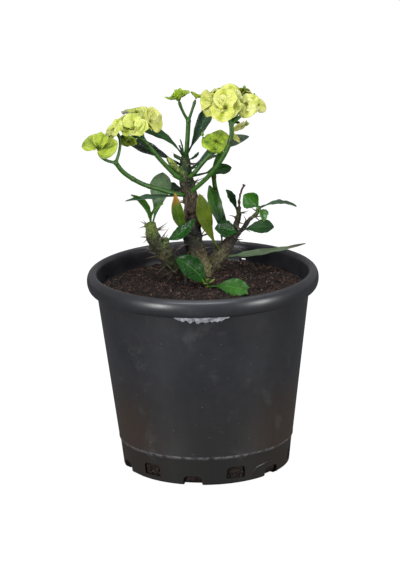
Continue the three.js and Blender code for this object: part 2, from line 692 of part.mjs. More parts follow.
function soilBody() {
  const edge = innerRadius(soilEdge) - 0.9;
  const mound = (r) => soilEdge + (soilMound - soilEdge) * Math.cos(r / edge * Math.PI / 2) ** 2;
  const onLedge = wallThickness + 0.35;
  const onFloor = floorHeight + 0.35;
  const profile = [
    [0, onFloor], [footInner + 0.4, onFloor], [footInner + 1.9, onLedge], [footOuter - 0.5, onLedge],
    [innerRadius(6) - 0.9, 6.2], [edge, soilEdge],
    ...[68, 56, 42, 28, 14, 0].map((r) => [r, mound(r)]),
  ].map(([r, z]) => new THREE.Vector2(r, z));
  const lathed = new THREE.LatheGeometry(profile, soilSides).rotateX(Math.PI / 2);
  return solidOf(reshape(lathed, (p) => {
    if (p.z > soilEdge + 0.1) p.z += lumps(p.x, p.y);
  }));
}

// ---- assembly -----------------------------------------------------------------------------------

standing.push(woodyTubes(seatGap));
const sprout = fitted(sproutBody);

const stalkSolids = {};
for (const [name, stalk] of Object.entries(flowerStalks)) {
  stalkSolids[name] = fitted((grow) => flowerStalkBody(stalk, grow));
}

const bloomSolids = {};
for (const stalk of Object.values(flowerStalks)) {
  for (const [name, bloom] of Object.entries(stalk.blooms)) {
    bloomSolids[name] = { bloom, solid: fitted((grow) => bloomBody(bloom, grow)) };
  }
}

const leafSolids = {};
for (const [name, leaf] of Object.entries(leaves)) {
  leafSolids[name] = fitted((grow) => leafBody(leaf, grow));
}

const notchRoofs = Array.from({ length: drainCount }, (_, i) => notchBar(i, wallThickness + seatGap));
const soil = largest(soilBody().subtract(union([...standing, ...notchRoofs])));
const woody = union([woodyTubes(0), ...spines([...standing.slice(1), soil])]);

addMesh('pot', potSolid(), blackPlastic);
addMesh('soil', soil, pottingSoil);
addMesh('woody_stems', largest(woody), bark);
addMesh('sprout', sprout, sproutGreen, [3, -9, 137]);
for (const [name, solid] of Object.entries(stalkSolids)) {
  addMesh(name, solid, stalkGreen, flowerStalks[name].path[0]);
}
for (const [name, { bloom, solid }] of Object.entries(bloomSolids)) {
  addMesh(name, solid, bloom.green ? bractGreen : bractYellow, bloom.at);
}
for (const [name, solid] of Object.entries(leafSolids)) {
  addMesh(name, solid, yellowLeaves.includes(name) ? leafYellow : leafGreen);
}

export default group;
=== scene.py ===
# Potted euphorbia: fine pieces, materials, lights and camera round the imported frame.
import math
import random

import bmesh
import bpy
from mathutils import Matrix, Quaternion, Vector, noise
from mathutils.kdtree import KDTree


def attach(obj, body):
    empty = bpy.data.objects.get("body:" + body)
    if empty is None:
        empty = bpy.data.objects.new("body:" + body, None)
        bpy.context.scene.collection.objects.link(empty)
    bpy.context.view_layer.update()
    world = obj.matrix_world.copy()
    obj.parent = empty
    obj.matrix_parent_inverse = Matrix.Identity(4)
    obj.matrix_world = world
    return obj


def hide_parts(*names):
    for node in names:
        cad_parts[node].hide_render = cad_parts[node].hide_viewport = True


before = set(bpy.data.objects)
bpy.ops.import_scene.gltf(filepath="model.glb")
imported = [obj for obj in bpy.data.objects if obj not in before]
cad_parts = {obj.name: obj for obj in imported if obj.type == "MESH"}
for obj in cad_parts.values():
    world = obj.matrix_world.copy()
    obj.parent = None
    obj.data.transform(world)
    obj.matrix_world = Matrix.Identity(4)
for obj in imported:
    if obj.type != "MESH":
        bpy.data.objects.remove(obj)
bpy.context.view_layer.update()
mm = 0.001

# selecting and finishing pieces


def clearSelection():
    if bpy.context.object and bpy.context.object.mode != "OBJECT":
        bpy.ops.object.mode_set(mode="OBJECT")
    bpy.ops.object.select_all(action="DESELECT")


def pick(*pieces):
    clearSelection()
    for piece in pieces:
        piece.select_set(True)
    bpy.context.view_layer.objects.active = pieces[0]


def applyModifiers(piece):
    pick(piece)
    for modifier in list(piece.modifiers):
        bpy.ops.object.modifier_apply(modifier=modifier.name)


# leaves the object at the origin, unturned, with its place in its mesh
def settle(piece, smooth=None):
    pick(piece)
    bpy.ops.object.transform_apply(location=True, rotation=True, scale=True)
    if smooth == "all":
        bpy.ops.object.shade_smooth()
    elif smooth:
        bpy.ops.object.shade_smooth_by_angle(angle=math.radians(smooth))


def joined(pieces, name):
    pick(*pieces)
    if len(pieces) > 1:
        bpy.ops.object.join()
    piece = bpy.context.object
    piece.name = name
    piece.data.name = name
    return piece


def give(piece, nodes, slotName, *materials):
    if materials:
        piece.data.materials.clear()
        for material in materials:
            piece.data.materials.append(material)
    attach(piece, "root")
    if nodes:
        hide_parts(*nodes)


def addModifier(piece, kind, **settings):
    modifier = piece.modifiers.new(kind.title(), kind)
    for key, value in settings.items():
        setattr(modifier, key, value)


def divide(piece, levels):
    addModifier(piece, "SUBSURF", levels=levels, render_levels=levels)


# bumps of one size pushed out of a piece
def roughen(piece, name, size, strength, depth, **settings):
    texture = bpy.data.textures.new(name, "CLOUDS")
    texture.noise_scale = size * mm
    texture.noise_depth = depth
    addModifier(piece, "DISPLACE", texture=texture, strength=strength * mm, texture_coords="LOCAL",
                **settings)


# gives a thin grid its thickness, finish and smoothness
def thicken(piece, thickness, material):
    addModifier(piece, "SOLIDIFY", thickness=thickness * mm, offset=0)
    divide(piece, 1)
    piece.data.materials.append(material)
    applyModifiers(piece)
    settle(piece, "all")


# fuses overlapping closed forms into one skin
def fuse(piece, voxel, smoothing=4):
    addModifier(piece, "REMESH", mode="VOXEL", voxel_size=voxel * mm, use_smooth_shade=True)
    addModifier(piece, "SMOOTH", factor=0.5, iterations=smoothing)
    applyModifiers(piece)


def mix(a, b, share):
    return a + (b - a) * share


def mixColour(a, b, share):
    return tuple(mix(p, q, share) for p, q in zip(a, b))


def ease(share):
    share = min(max(share, 0), 1)
    return share * share * (3 - 2 * share)


# value at a share of an evenly spaced list
def along(values, share):
    place = min(max(share, 0), 1) * (len(values) - 1)
    low = min(int(place), len(values) - 2)
    return mix(values[low], values[low + 1], place - low)


# unit vector at a heading from +X towards +Y and a rise over the level
def direction(heading, rise):
    h, r = math.radians(heading), math.radians(rise)
    return Vector((math.cos(h) * math.cos(r), math.sin(h) * math.cos(r), math.sin(r)))


# evenly spaced points on a smooth line through the given points
def smoothLine(points, count=80):
    knots = [Vector(p) * mm for p in points]
    knots = [2 * knots[0] - knots[1], *knots, 2 * knots[-1] - knots[-2]]
    dense = []
    for a, b, c, d in zip(knots, knots[1:], knots[2:], knots[3:]):
        before, here, after = ((q - p).length ** 0.5 for p, q in ((a, b), (b, c), (c, d)))
        leave = ((b - a) / before - (c - a) / (before + here) + (c - b) / here) * here
        arrive = ((c - b) / here - (d - b) / (here + after) + (d - c) / after) * here
        for k in range(24):
            s = k / 24
            dense.append((2 * s**3 - 3 * s**2 + 1) * b + (s**3 - 2 * s**2 + s) * leave
                         + (3 * s**2 - 2 * s**3) * c + (s**3 - s**2) * arrive)
    dense.append(knots[-2])
    return evenly(dense, count)


def evenly(points, count):
    runs = [0]
    for p, q in zip(points, points[1:]):
        runs.append(runs[-1] + (q - p).length)
    spaced, k = [], 0
    for i in range(count + 1):
        target = runs[-1] * i / count
        while k < len(points) - 2 and runs[k + 1] < target:
            k += 1
        share = (target - runs[k]) / max(runs[k + 1] - runs[k], 1e-9)
        spaced.append(points[k].lerp(points[k + 1], min(share, 1)))
    return spaced


def lineLength(line):
    return sum((q - p).length for p, q in zip(line, line[1:]))


# spot and unit direction at a share of an evenly spaced line
def onLine(line, share):
    place = min(max(share, 0), 1) * (len(line) - 1)
    low = min(int(place), len(line) - 2)
    return line[low].lerp(line[low + 1], place - low), (line[low + 1] - line[low]).normalized()


# closed round tube along a line, its radii (mm) evenly spaced along it
def tube(name, line, radii, roundness=4):
    curve = bpy.data.curves.new(name, "CURVE")
    curve.dimensions = "3D"
    curve.bevel_depth = mm
    curve.bevel_resolution = roundness
    curve.use_fill_caps = True
    strand = curve.splines.new("POLY")
    strand.points.add(len(line) - 1)
    for i, (point, spot) in enumerate(zip(strand.points, line)):
        point.co = (*spot, 1)
        point.radius = along(radii, i / (len(line) - 1))
    piece = bpy.data.objects.new(name, curve)
    bpy.context.scene.collection.objects.link(piece)
    pick(piece)
    bpy.ops.object.convert(target="MESH")
    return bpy.context.object


# flat grid whose points are then set by place(across from -1 to 1, along from 0 to 1)
def shapedGrid(name, columns, rows, place):
    clearSelection()
    bpy.ops.mesh.primitive_grid_add(x_subdivisions=columns, y_subdivisions=rows, size=2)
    piece = bpy.context.object
    piece.name = name
    for vertex in piece.data.vertices:
        vertex.co = place(vertex.co.x, (vertex.co.y + 1) / 2)
    return piece


# small form kept aside as a pattern and copied many times into one mesh
def scatter(name, patterns, placements):
    mesh = bpy.data.meshes.new(name)
    shape = bmesh.new()
    for which, matrix in placements:
        start = len(shape.verts)
        shape.from_mesh(patterns[which].data)
        shape.verts.ensure_lookup_table()
        bmesh.ops.transform(shape, matrix=matrix, verts=shape.verts[start:])
    shape.to_mesh(mesh)
    shape.free()
    piece = bpy.data.objects.new(name, mesh)
    bpy.context.scene.collection.objects.link(piece)
    settle(piece, 50)
    return piece


def discard(*pieces):
    for piece in pieces:
        bpy.data.objects.remove(piece)


# paints each point with the colour that shade(spot) gives
def paint(piece, shade):
    tone = piece.data.color_attributes.new("tone", "FLOAT_COLOR", "POINT")
    for i, vertex in enumerate(piece.data.vertices):
        tone.data[i].color = (*shade(vertex.co), 1)


# camera, lights and floor

view = {
    "place": (0, -2.9, 0.9603), "aim": (-0.00217, 0, 0.13518), "roll": -1.25,
    "lens": 259.74, "sensor": 36, "reach": 20,
}
lamps = {
    "lampLeft": {"heading": -133, "rise": 6, "away": 1.3, "size": (0.17, 0.55), "power": 14},
    "lampRight": {"heading": -34, "rise": 6, "away": 1.3, "size": (0.17, 0.55), "power": 11.5},
    "lampFront": {"heading": -96, "rise": 56, "away": 1.3, "size": (1.1, 0.3), "power": 14,
                  "tint": (0.84, 0.9, 1)},
    "lampTop": {"heading": 60, "rise": 80, "away": 1.6, "size": (1.5, 1.5), "power": 9},
}
lampCentre = Vector((0, 0, 0.15))
floorLook = {"radius": 4, "colour": (0.1, 0.1, 0.1), "glow": 0.96, "sky": (1, 1, 1), "skyStrength": 0.32}

aim = Vector(view["aim"])
place = Vector(view["place"])
turn = (aim - place).to_track_quat("-Z", "Y") @ Quaternion((0, 0, 1), math.radians(view["roll"]))
bpy.ops.object.camera_add(location=place, rotation=turn.to_euler())
camera = bpy.context.object
camera.data.sensor_fit = "VERTICAL"
camera.data.sensor_height = view["sensor"]
camera.data.lens = view["lens"]
camera.data.clip_end = view["reach"]
bpy.context.scene.camera = camera

for name, lamp in lamps.items():
    spot = lampCentre + direction(lamp["heading"], lamp["rise"]) * lamp["away"]
    facing = (lampCentre - spot).to_track_quat("-Z", "Y")
    bpy.ops.object.light_add(type="AREA", location=spot, rotation=facing.to_euler())
    light = bpy.context.object
    light.name = name
    light.data.shape = "RECTANGLE"
    light.data.size, light.data.size_y = lamp["size"]
    light.data.energy = lamp["power"]
    light.data.color = lamp.get("tint", (1, 1, 1))

world = bpy.data.worlds.new("studio")
world.use_nodes = True
sky = next(n for n in world.node_tree.nodes if n.type == "BACKGROUND")
sky.inputs["Color"].default_value = (*floorLook["sky"], 1)
sky.inputs["Strength"].default_value = floorLook["skyStrength"]
bpy.context.scene.world = world
bpy.context.scene.view_settings.view_transform = "Standard"

clearSelection()
bpy.ops.mesh.primitive_circle_add(vertices=96, radius=floorLook["radius"], fill_type="NGON")
floor = bpy.context.object
floor.name = "studio_floor"
print("camera and lights ready")

# materials


# a node with its inputs set or linked by name
def addNode(tree, kind, links=None, **settings):
    node = tree.nodes.new(kind)
    for key, value in settings.items():
        setattr(node, key, value)
    for key, value in (links or {}).items():
        if isinstance(value, bpy.types.NodeSocket):
            tree.links.new(value, node.inputs[key])
        else:
            node.inputs[key].default_value = value
    return node


def addMath(tree, operation, *values):
    return addNode(tree, "ShaderNodeMath", dict(enumerate(values)), operation=operation).outputs[0]


def addProduct(tree, first, second):
    return addMath(tree, "MULTIPLY", first, second)


def addSum(tree, first, second):
    return addMath(tree, "ADD", first, second)


def addDifference(tree, first, second):
    return addMath(tree, "SUBTRACT", first, second)


# smooth step of a value from one level to another
def addStep(tree, value, low, high, start=0.0, end=1.0):
    links = {"Value": value, "From Min": low, "From Max": high, "To Min": start, "To Max": end}
    node = addNode(tree, "ShaderNodeMapRange", links, interpolation_type="SMOOTHSTEP")
    return node.outputs["Result"]


def addBlend(tree, share, first, second, blend="MIX"):
    links = {0: share, 6: colour4(first), 7: colour4(second)}
    return addNode(tree, "ShaderNodeMix", links, data_type="RGBA", blend_type=blend).outputs[2]


# lays a tint over a colour where the mask is, up to the given amount
def addTint(tree, colour, mask, amount, tint):
    return addBlend(tree, addProduct(tree, mask, amount), colour, tint)


def colour4(value):
    return value if isinstance(value, bpy.types.NodeSocket) else (*value, 1)


def objectPlace(tree):
    return addNode(tree, "ShaderNodeTexCoord").outputs["Object"]


def addNoise(tree, scale, detail=4.0, roughness=0.55, vector=None):
    links = {"Vector": vector or objectPlace(tree), "Scale": scale, "Detail": detail,
             "Roughness": roughness}
    return addNode(tree, "ShaderNodeTexNoise", links).outputs["Fac"]


def addClamp(tree, value):
    return addNode(tree, "ShaderNodeClamp", {"Value": value}).outputs[0]


def addBump(tree, height, distance, strength=1.0, normal=None):
    links = {"Height": height, "Distance": distance, "Strength": strength}
    if normal:
        links["Normal"] = normal
    return addNode(tree, "ShaderNodeBump", links).outputs["Normal"]


# an empty shader group with its named sockets, and its two ends
def newGroup(name, inputs, outputs):
    group = bpy.data.node_groups.new(name, "ShaderNodeTree")
    kinds = {"Colour": "NodeSocketColor", "Value": "NodeSocketFloat"}
    for title, kind, value in inputs:
        socket = group.interface.new_socket(title, in_out="INPUT", socket_type=kinds[kind])
        socket.default_value = value
    for title, kind in outputs:
        group.interface.new_socket(title, in_out="OUTPUT", socket_type=kinds[kind])
    return group, group.nodes.new("NodeGroupInput").outputs, group.nodes.new("NodeGroupOutput")


# uneven colour: a coarse and a fine noise over the piece
def makeMottle():
    group, given, out = newGroup("mottle", [
        ("Scale", "Value", 60), ("Contrast", "Value", 1.0),
        ("Dark", "Colour", (0, 0, 0, 1)), ("Light", "Colour", (1, 1, 1, 1)),
    ], [("Colour", "Colour"), ("Mask", "Value")])
    coarse = addNoise(group, given["Scale"])
    fine = addNoise(group, addProduct(group, given["Scale"], 5.3), 3)
    both = addSum(group, addProduct(group, coarse, 0.65), addProduct(group, fine, 0.35))
    gain = addProduct(group, given["Contrast"], 3)
    spread = addProduct(group, addDifference(group, both, 0.5), gain)
    mask = addClamp(group, addSum(group, spread, 0.5))
    group.links.new(mask, out.inputs["Mask"])
    group.links.new(addBlend(group, mask, given["Dark"], given["Light"]), out.inputs["Colour"])
    return group


# scattered specks: one mark in some of the cells of a fine mesh
def makeSpecks():
    group, given, out = newGroup("specks", [
        ("Scale", "Value", 300), ("Share", "Value", 0.1), ("Size", "Value", 0.2),
    ], [("Mask", "Value")])
    cells = addNode(group, "ShaderNodeTexVoronoi", {"Vector": objectPlace(group), "Scale": given["Scale"]})
    lottery = addNode(group, "ShaderNodeSeparateColor", {"Color": cells.outputs["Color"]}).outputs[0]
    chosen = addMath(group, "LESS_THAN", lottery, given["Share"])
    near = addStep(group, cells.outputs["Distance"], given["Size"], 0.0)
    group.links.new(addProduct(group, chosen, near), out.inputs["Mask"])
    return group


# line work of a blade from its own UV map: midrib, side veins and margin
def makeVeins():
    group, given, out = newGroup("veins", [
        ("Pairs", "Value", 11), ("Slope", "Value", 2.2),
        ("Rib Width", "Value", 0.09), ("Waver", "Value", 0.5),
    ], [("Rib", "Value"), ("Veins", "Value"), ("Margin", "Value"), ("Along", "Value")])
    uv = addNode(group, "ShaderNodeUVMap").outputs["UV"]
    parts = addNode(group, "ShaderNodeSeparateXYZ", {"Vector": uv}).outputs
    lengthwise = parts["Y"]
    fromMiddle = addMath(group, "ABSOLUTE", addDifference(group, parts["X"], 0.5))
    aside = addProduct(group, fromMiddle, 2)
    ribEdge = addProduct(group, given["Rib Width"], addDifference(group, 1.15, lengthwise))
    rib = addStep(group, aside, ribEdge, addProduct(group, ribEdge, 0.3))
    waver = addProduct(group, addNoise(group, 120, 2), given["Waver"])
    rising = addProduct(group, lengthwise, given["Pairs"])
    phase = addDifference(group, rising, addProduct(group, aside, given["Slope"]))
    stripe = addMath(group, "PINGPONG", addSum(group, phase, waver), 0.5)
    thin = addStep(group, stripe, 0.12, 0.0)
    inner = addStep(group, aside, 0.95, 0.55)
    group.links.new(rib, out.inputs["Rib"])
    group.links.new(addProduct(group, thin, inner), out.inputs["Veins"])
    group.links.new(addStep(group, aside, 0.86, 1.0), out.inputs["Margin"])
    group.links.new(lengthwise, out.inputs["Along"])
    return group


mottleGroup, specksGroup, veinsGroup = makeMottle(), makeSpecks(), makeVeins()


# a shared effect placed in a material with its own values
def addGroup(tree, group, **values):
    links = {key.replace("_", " "): colour4(v) if isinstance(v, tuple) else v for key, v in values.items()}
    return addNode(tree, "ShaderNodeGroup", links, node_tree=group).outputs


# a material whose constant sockets are set on its shader and whose varying ones are linked
def newMaterial(name, **constants):
    material = bpy.data.materials.new(name)
    material.use_nodes = True
    tree = material.node_tree
    shader = next(n for n in tree.nodes if n.type == "BSDF_PRINCIPLED")
    for key, value in constants.items():
        shader.inputs[key.replace("_", " ")].default_value = value

    def link(**values):
        for key, value in values.items():
            tree.links.new(value, shader.inputs[key.replace("_", " ")])
    return material, tree, link


def makePotPlastic():
    material, tree, link = newMaterial("blackPlastic", IOR=1.5)
    tone = addGroup(tree, mottleGroup, Scale=30, Contrast=0.8, Dark=(0.012, 0.012, 0.0142),
                    Light=(0.0215, 0.0215, 0.0255))
    place = addNode(tree, "ShaderNodeSeparateXYZ", {"Vector": objectPlace(tree)}).outputs
    height = place["Z"]
    # painted shade: the wall is made darker and more neutral towards the bottom
    uneven = addProduct(tree, addNoise(tree, 60, 4), 0.012)
    low = addStep(tree, addSum(tree, height, uneven), 0.095, 0.035)
    aside = addStep(tree, addMath(tree, "ABSOLUTE", place["X"]), 0.02, 0.06)
    colour = addTint(tree, tone["Colour"], low, 0.85, (0.0145, 0.014, 0.013))
    # painted reflection: a brownish tint on the lower wall towards its left and right sides
    colour = addTint(tree, colour, addProduct(tree, low, aside), 0.8, (0.034, 0.021, 0.014))
    # painted shade: the recessed skirt under the step is made darker still
    skirt = addStep(tree, height, 0.0232, 0.0215)
    colour = addTint(tree, colour, skirt, 0.5, (0.011, 0.010, 0.009))
    # a pale broken line is painted round the edge of the step
    stepLine = addProduct(tree, addStep(tree, height, 0.0206, 0.0216),
                          addStep(tree, height, 0.0236, 0.0228))
    brokenPaleLine = addProduct(tree, stepLine, addStep(tree, addNoise(tree, 260, 4, 0.7), 0.36, 0.62))
    colour = addTint(tree, colour, brokenPaleLine, 0.7, (0.13, 0.13, 0.135))
    smudge = addStep(tree, addNoise(tree, 34, 5, 0.7), 0.58, 0.7)
    colour = addTint(tree, colour, smudge, 0.25, (0.07, 0.068, 0.068))
    dust = addGroup(tree, specksGroup, Scale=420, Share=0.055, Size=0.2)["Mask"]
    lint = addGroup(tree, specksGroup, Scale=150, Share=0.03, Size=0.12)["Mask"]
    marks = addClamp(tree, addSum(tree, dust, lint))
    colour = addTint(tree, colour, marks, 0.6, (0.24, 0.23, 0.225))
    pointed = addNode(tree, "ShaderNodeNewGeometry").outputs["Pointiness"]
    worn = addProduct(tree, addStep(tree, pointed, 0.56, 0.66), addNoise(tree, 220, 3))
    worn = addProduct(tree, worn, addStep(tree, height, 0.018, 0.021, 0.15))
    colour = addTint(tree, colour, worn, 0.7, (0.085, 0.085, 0.096))
    streaks = addNode(tree, "ShaderNodeMapping", {"Vector": objectPlace(tree), "Scale": (1, 1, 0.06)})
    drawn = addNoise(tree, 190, 4, 0.6, streaks.outputs["Vector"])
    smear = addNoise(tree, 40, 4, 0.55)
    rough = addSum(tree, addProduct(tree, drawn, 0.08), addProduct(tree, smear, 0.1))
    grain = addSum(tree, addProduct(tree, addNoise(tree, 1500, 2), 0.35), drawn)
    link(Base_Color=colour, Roughness=addSum(tree, rough, 0.27), Normal=addBump(tree, grain, 0.00006, 0.7))
    return material


# pale mottled colour painted on the strip under the lip
def makePaleStripPlastic():
    material, tree, link = newMaterial("paleStripPlastic")
    tone = addGroup(tree, mottleGroup, Scale=300, Contrast=1.3, Dark=(0.1, 0.1, 0.115),
                    Light=(0.42, 0.42, 0.46))
    rough = addSum(tree, addProduct(tree, tone["Mask"], 0.25), 0.35)
    link(Base_Color=tone["Colour"], Roughness=rough, Normal=addBump(tree, addNoise(tree, 900, 4), 0.0002))
    return material


def makeEarth(name, dark, light, grain, scale, specks=0.0):
    material, tree, link = newMaterial(name, Specular_IOR_Level=0.25)
    tone = addGroup(tree, mottleGroup, Scale=scale, Contrast=1.6, Dark=dark, Light=light)
    colour = tone["Colour"]
    if specks:
        bits = addGroup(tree, specksGroup, Scale=520, Share=specks, Size=0.4)["Mask"]
        colour = addTint(tree, colour, bits, 0.7, (0.2, 0.15, 0.115))
    level = addNode(tree, "ShaderNodeSeparateXYZ", {"Vector": objectPlace(tree)}).outputs["Z"]
    # painted shade: earth inside the pot wall, from about 20 to 125 mm up, is made near black
    shadedInside = addProduct(tree, addStep(tree, level, 0.128, 0.12), addStep(tree, level, 0.016, 0.022))
    colour = addBlend(tree, shadedInside, colour, (0.001, 0.0008, 0.0006))
    height = addSum(tree, addNoise(tree, grain, 5, 0.65), addNoise(tree, grain * 4, 3, 0.6))
    rough = addSum(tree, addProduct(tree, tone["Mask"], 0.2), 0.72)
    link(Base_Color=colour, Roughness=rough, Normal=addBump(tree, height, 0.0007, 0.9))
    return material


# bark keeps the tone painted on the piece and adds cracks, pale flakes and moss
def makeBark():
    material, tree, link = newMaterial("trunkBark", Specular_IOR_Level=0.35)
    tone = addNode(tree, "ShaderNodeAttribute", attribute_name="tone").outputs["Color"]
    stretched = addNode(tree, "ShaderNodeMapping", {"Vector": objectPlace(tree), "Scale": (1, 1, 0.45)})
    links = {"Vector": stretched.outputs["Vector"], "Scale": 620.0, "Randomness": 1.0}
    cells = addNode(tree, "ShaderNodeTexVoronoi", links, feature="DISTANCE_TO_EDGE")
    cracked = addStep(tree, cells.outputs["Distance"], 0.12, 0.0)
    coarse = addNoise(tree, 340, 6, 0.65)
    uneven = addStep(tree, coarse, 0.35, 0.62, 0.0, 0.55)
    colour = addBlend(tree, uneven, tone, (0.21, 0.16, 0.09), "OVERLAY")
    colour = addTint(tree, colour, cracked, 0.75, (0.012, 0.009, 0.007))
    flaked = addStep(tree, addNoise(tree, 210, 5, 0.7), 0.56, 0.68)
    colour = addTint(tree, colour, flaked, 0.34, (0.3, 0.25, 0.17))
    mossy = addStep(tree, addNoise(tree, 95, 5, 0.7), 0.52, 0.68)
    colour = addTint(tree, colour, mossy, 0.4, (0.075, 0.1, 0.02))
    height = addDifference(tree, coarse, addProduct(tree, cracked, 0.4))
    fine = addBump(tree, addNoise(tree, 1600, 4, 0.6), 0.00025, 0.6)
    link(Base_Color=colour, Roughness=addStep(tree, coarse, 0.3, 0.7, 0.62, 0.9),
         Normal=addBump(tree, height, 0.0009, 0.9, fine))
    return material


def makeSpineHorn():
    material, tree, link = newMaterial("spineHorn", Specular_IOR_Level=0.5)
    tone = addGroup(tree, mottleGroup, Scale=120, Contrast=2.0, Dark=(0.014, 0.011, 0.009),
                    Light=(0.1, 0.078, 0.058))
    link(Base_Color=tone["Colour"], Roughness=addStep(tree, tone["Mask"], 0, 1, 0.35, 0.6),
         Normal=addBump(tree, addNoise(tree, 2400, 3), 0.0001))
    return material


# painted tone of a green stalk, with patches and pale dots
def makeStalk():
    material, tree, link = newMaterial("stalkSkin", Coat_Weight=0.06, Coat_Roughness=0.3,
                                       Specular_IOR_Level=0.4, Subsurface_Weight=0.08,
                                       Subsurface_Scale=0.0012)
    tone = addNode(tree, "ShaderNodeAttribute", attribute_name="tone").outputs["Color"]
    patchy = addNoise(tree, 260, 5, 0.6)
    colour = addBlend(tree, addStep(tree, patchy, 0.42, 0.7, 0.0, 0.4), tone, (0.07, 0.17, 0.02))
    dots = addGroup(tree, specksGroup, Scale=700, Share=0.12, Size=0.35)["Mask"]
    colour = addTint(tree, colour, dots, 0.2, (0.2, 0.3, 0.08))
    link(Base_Color=colour, Roughness=addStep(tree, patchy, 0.3, 0.7, 0.32, 0.52),
         Normal=addBump(tree, addNoise(tree, 800, 4, 0.55), 0.00022, 0.7))
    return material


# upper face of a leaf, or the lower one that all leaves share
def makeLeaf(name, dark, light, rib, margin=None, tip=None, rough=0.3, coat=0.25, wrinkle=0.4,
             veinTint=0.35, ribTint=0.75, glints=0.0, shine=0.3):
    material, tree, link = newMaterial(name, Coat_Weight=coat * 0.7, Coat_Roughness=0.13,
                                       Specular_IOR_Level=shine)
    tone = addGroup(tree, mottleGroup, Scale=75, Contrast=1.1, Dark=dark, Light=light)
    lines = addGroup(tree, veinsGroup, Pairs=11, Slope=2.4, Rib_Width=0.13, Waver=0.6)
    colour = addTint(tree, tone["Colour"], lines["Veins"], veinTint, rib)
    if tip:
        uneven = addSum(tree, lines["Along"], addProduct(tree, addNoise(tree, 160, 4), 0.25))
        colour = addBlend(tree, addStep(tree, uneven, tip["start"], tip["end"]), colour, tip["colour"])
    if margin:
        colour = addTint(tree, colour, lines["Margin"], 0.7, margin)
    colour = addTint(tree, colour, lines["Rib"], ribTint, rib)
    if glints:  # pale flecks where the quilted skin catches the light
        flecks = addStep(tree, addNoise(tree, 650, 3, 0.5), 0.6, 0.7)
        band = addStep(tree, addNoise(tree, 90, 2), 0.42, 0.6)
        colour = addTint(tree, colour, addProduct(tree, flecks, band), glints * 0.7, (0.42, 0.45, 0.44))
    puckered = addNoise(tree, 520, 3, 0.5)
    height = addDifference(tree, addProduct(tree, puckered, wrinkle), addProduct(tree, lines["Veins"], 0.3))
    height = addDifference(tree, height, addProduct(tree, lines["Rib"], 0.4))
    link(Base_Color=colour, Roughness=addStep(tree, puckered, 0.3, 0.7, rough - 0.06, rough + 0.14),
         Normal=addBump(tree, height, 0.0006, 0.8))
    return material


# a bract gets painted shade in its folds and throat and painted highlights on its ridges, from the shading
# painted on the piece
def makeBract(name, pale, middle, deep, blush=None):
    material, tree, link = newMaterial(name, Coat_Weight=0.05, Coat_Roughness=0.3, Specular_IOR_Level=0.3,
                                       Subsurface_Weight=0.3, Subsurface_Scale=0.002,
                                       Subsurface_Radius=(0.9, 1, 0.35), Sheen_Weight=0.06)
    lines = addGroup(tree, veinsGroup, Pairs=7, Slope=-1.4, Rib_Width=0.1, Waver=1.2)
    painted = addNode(tree, "ShaderNodeAttribute", attribute_name="tone").outputs["Color"]
    marks = addNode(tree, "ShaderNodeSeparateColor", {"Color": painted}).outputs
    mottled = addGroup(tree, mottleGroup, Scale=150, Contrast=0.9)["Mask"]
    # painted shade and highlight: the shading painted on the piece, with some mottle, makes folds deep and
    # ridges pale
    shading = addSum(tree, marks[0], addProduct(tree, addDifference(tree, mottled, 0.5), 0.45))
    colour = addBlend(tree, addStep(tree, shading, 0.1, 0.55), deep, middle)
    colour = addBlend(tree, addStep(tree, shading, 0.45, 0.95), colour, pale)
    colour = addTint(tree, colour, marks[1], 0.3, pale)
    # darker green towards the throat: partly the bract's own green, partly painted shade in the throat
    throat = addStep(tree, lines["Along"], 0.32, 0.08)
    colour = addTint(tree, colour, throat, 0.85, mixColour(deep, (0.1, 0.13, 0.01), 0.4))
    rim = addStep(tree, lines["Along"], 0.9, 1.0)
    for mask, amount in ((rim, 0.4), (lines["Rib"], 0.45), (lines["Veins"], 0.22)):
        colour = addTint(tree, colour, mask, amount, deep)
    if blush:
        colour = addTint(tree, colour, addStep(tree, addNoise(tree, 150, 3), 0.55, 0.75), 0.4, blush)
    puckered = addNoise(tree, 420, 4, 0.55)
    height = addDifference(tree, puckered, addProduct(tree, lines["Veins"], 0.25))
    link(Base_Color=colour, Roughness=addStep(tree, puckered, 0.3, 0.7, 0.42, 0.6),
         Normal=addBump(tree, height, 0.0005, 0.8))
    return material


def makePlain(name, dark, light):
    material, tree, link = newMaterial(name, Specular_IOR_Level=0.45)
    tone = addGroup(tree, mottleGroup, Scale=400, Contrast=1.2, Dark=dark, Light=light)
    link(Base_Color=tone["Colour"], Roughness=addStep(tree, tone["Mask"], 0, 1, 0.42, 0.6),
         Normal=addBump(tree, addNoise(tree, 1200, 3), 0.0002))
    return material


floorPaint, floorTree, linkFloor = newMaterial("paleFloor", Specular_IOR_Level=0.1,
                                               Emission_Strength=floorLook["glow"])
floorTone = addGroup(floorTree, mottleGroup, Scale=3, Contrast=0.3, Dark=floorLook["colour"],
                     Light=tuple(c + 0.02 for c in floorLook["colour"]))
seen = addNode(floorTree, "ShaderNodeLightPath").outputs["Is Camera Ray"]  # keeps the glow off the pot
linkFloor(Base_Color=floorTone["Colour"], Roughness=addStep(floorTree, floorTone["Mask"], 0, 1, 0.7, 0.8),
          Emission_Color=addBlend(floorTree, seen, (0, 0, 0), (1, 1, 1)))
floor.data.materials.append(floorPaint)

blackPlastic, paleStripPlastic = makePotPlastic(), makePaleStripPlastic()
peat = makeEarth("darkPeat", (0.0016, 0.0013, 0.0012), (0.034, 0.0215, 0.0175), grain=560, scale=460,
                 specks=0.1)
peatCrumb = makeEarth("peatCrumb", (0.004, 0.003, 0.0027), (0.044, 0.029, 0.023), grain=700, scale=420)
reddishFibre = makeEarth("reddishFibre", (0.035, 0.017, 0.013), (0.24, 0.13, 0.092), grain=900, scale=330)
paleFibre = makeEarth("paleFibre", (0.12, 0.07, 0.045), (0.42, 0.31, 0.22), grain=900, scale=330)
trunkBark = makeBark()
spineHorn = makeSpineHorn()
stalkSkin = makeStalk()
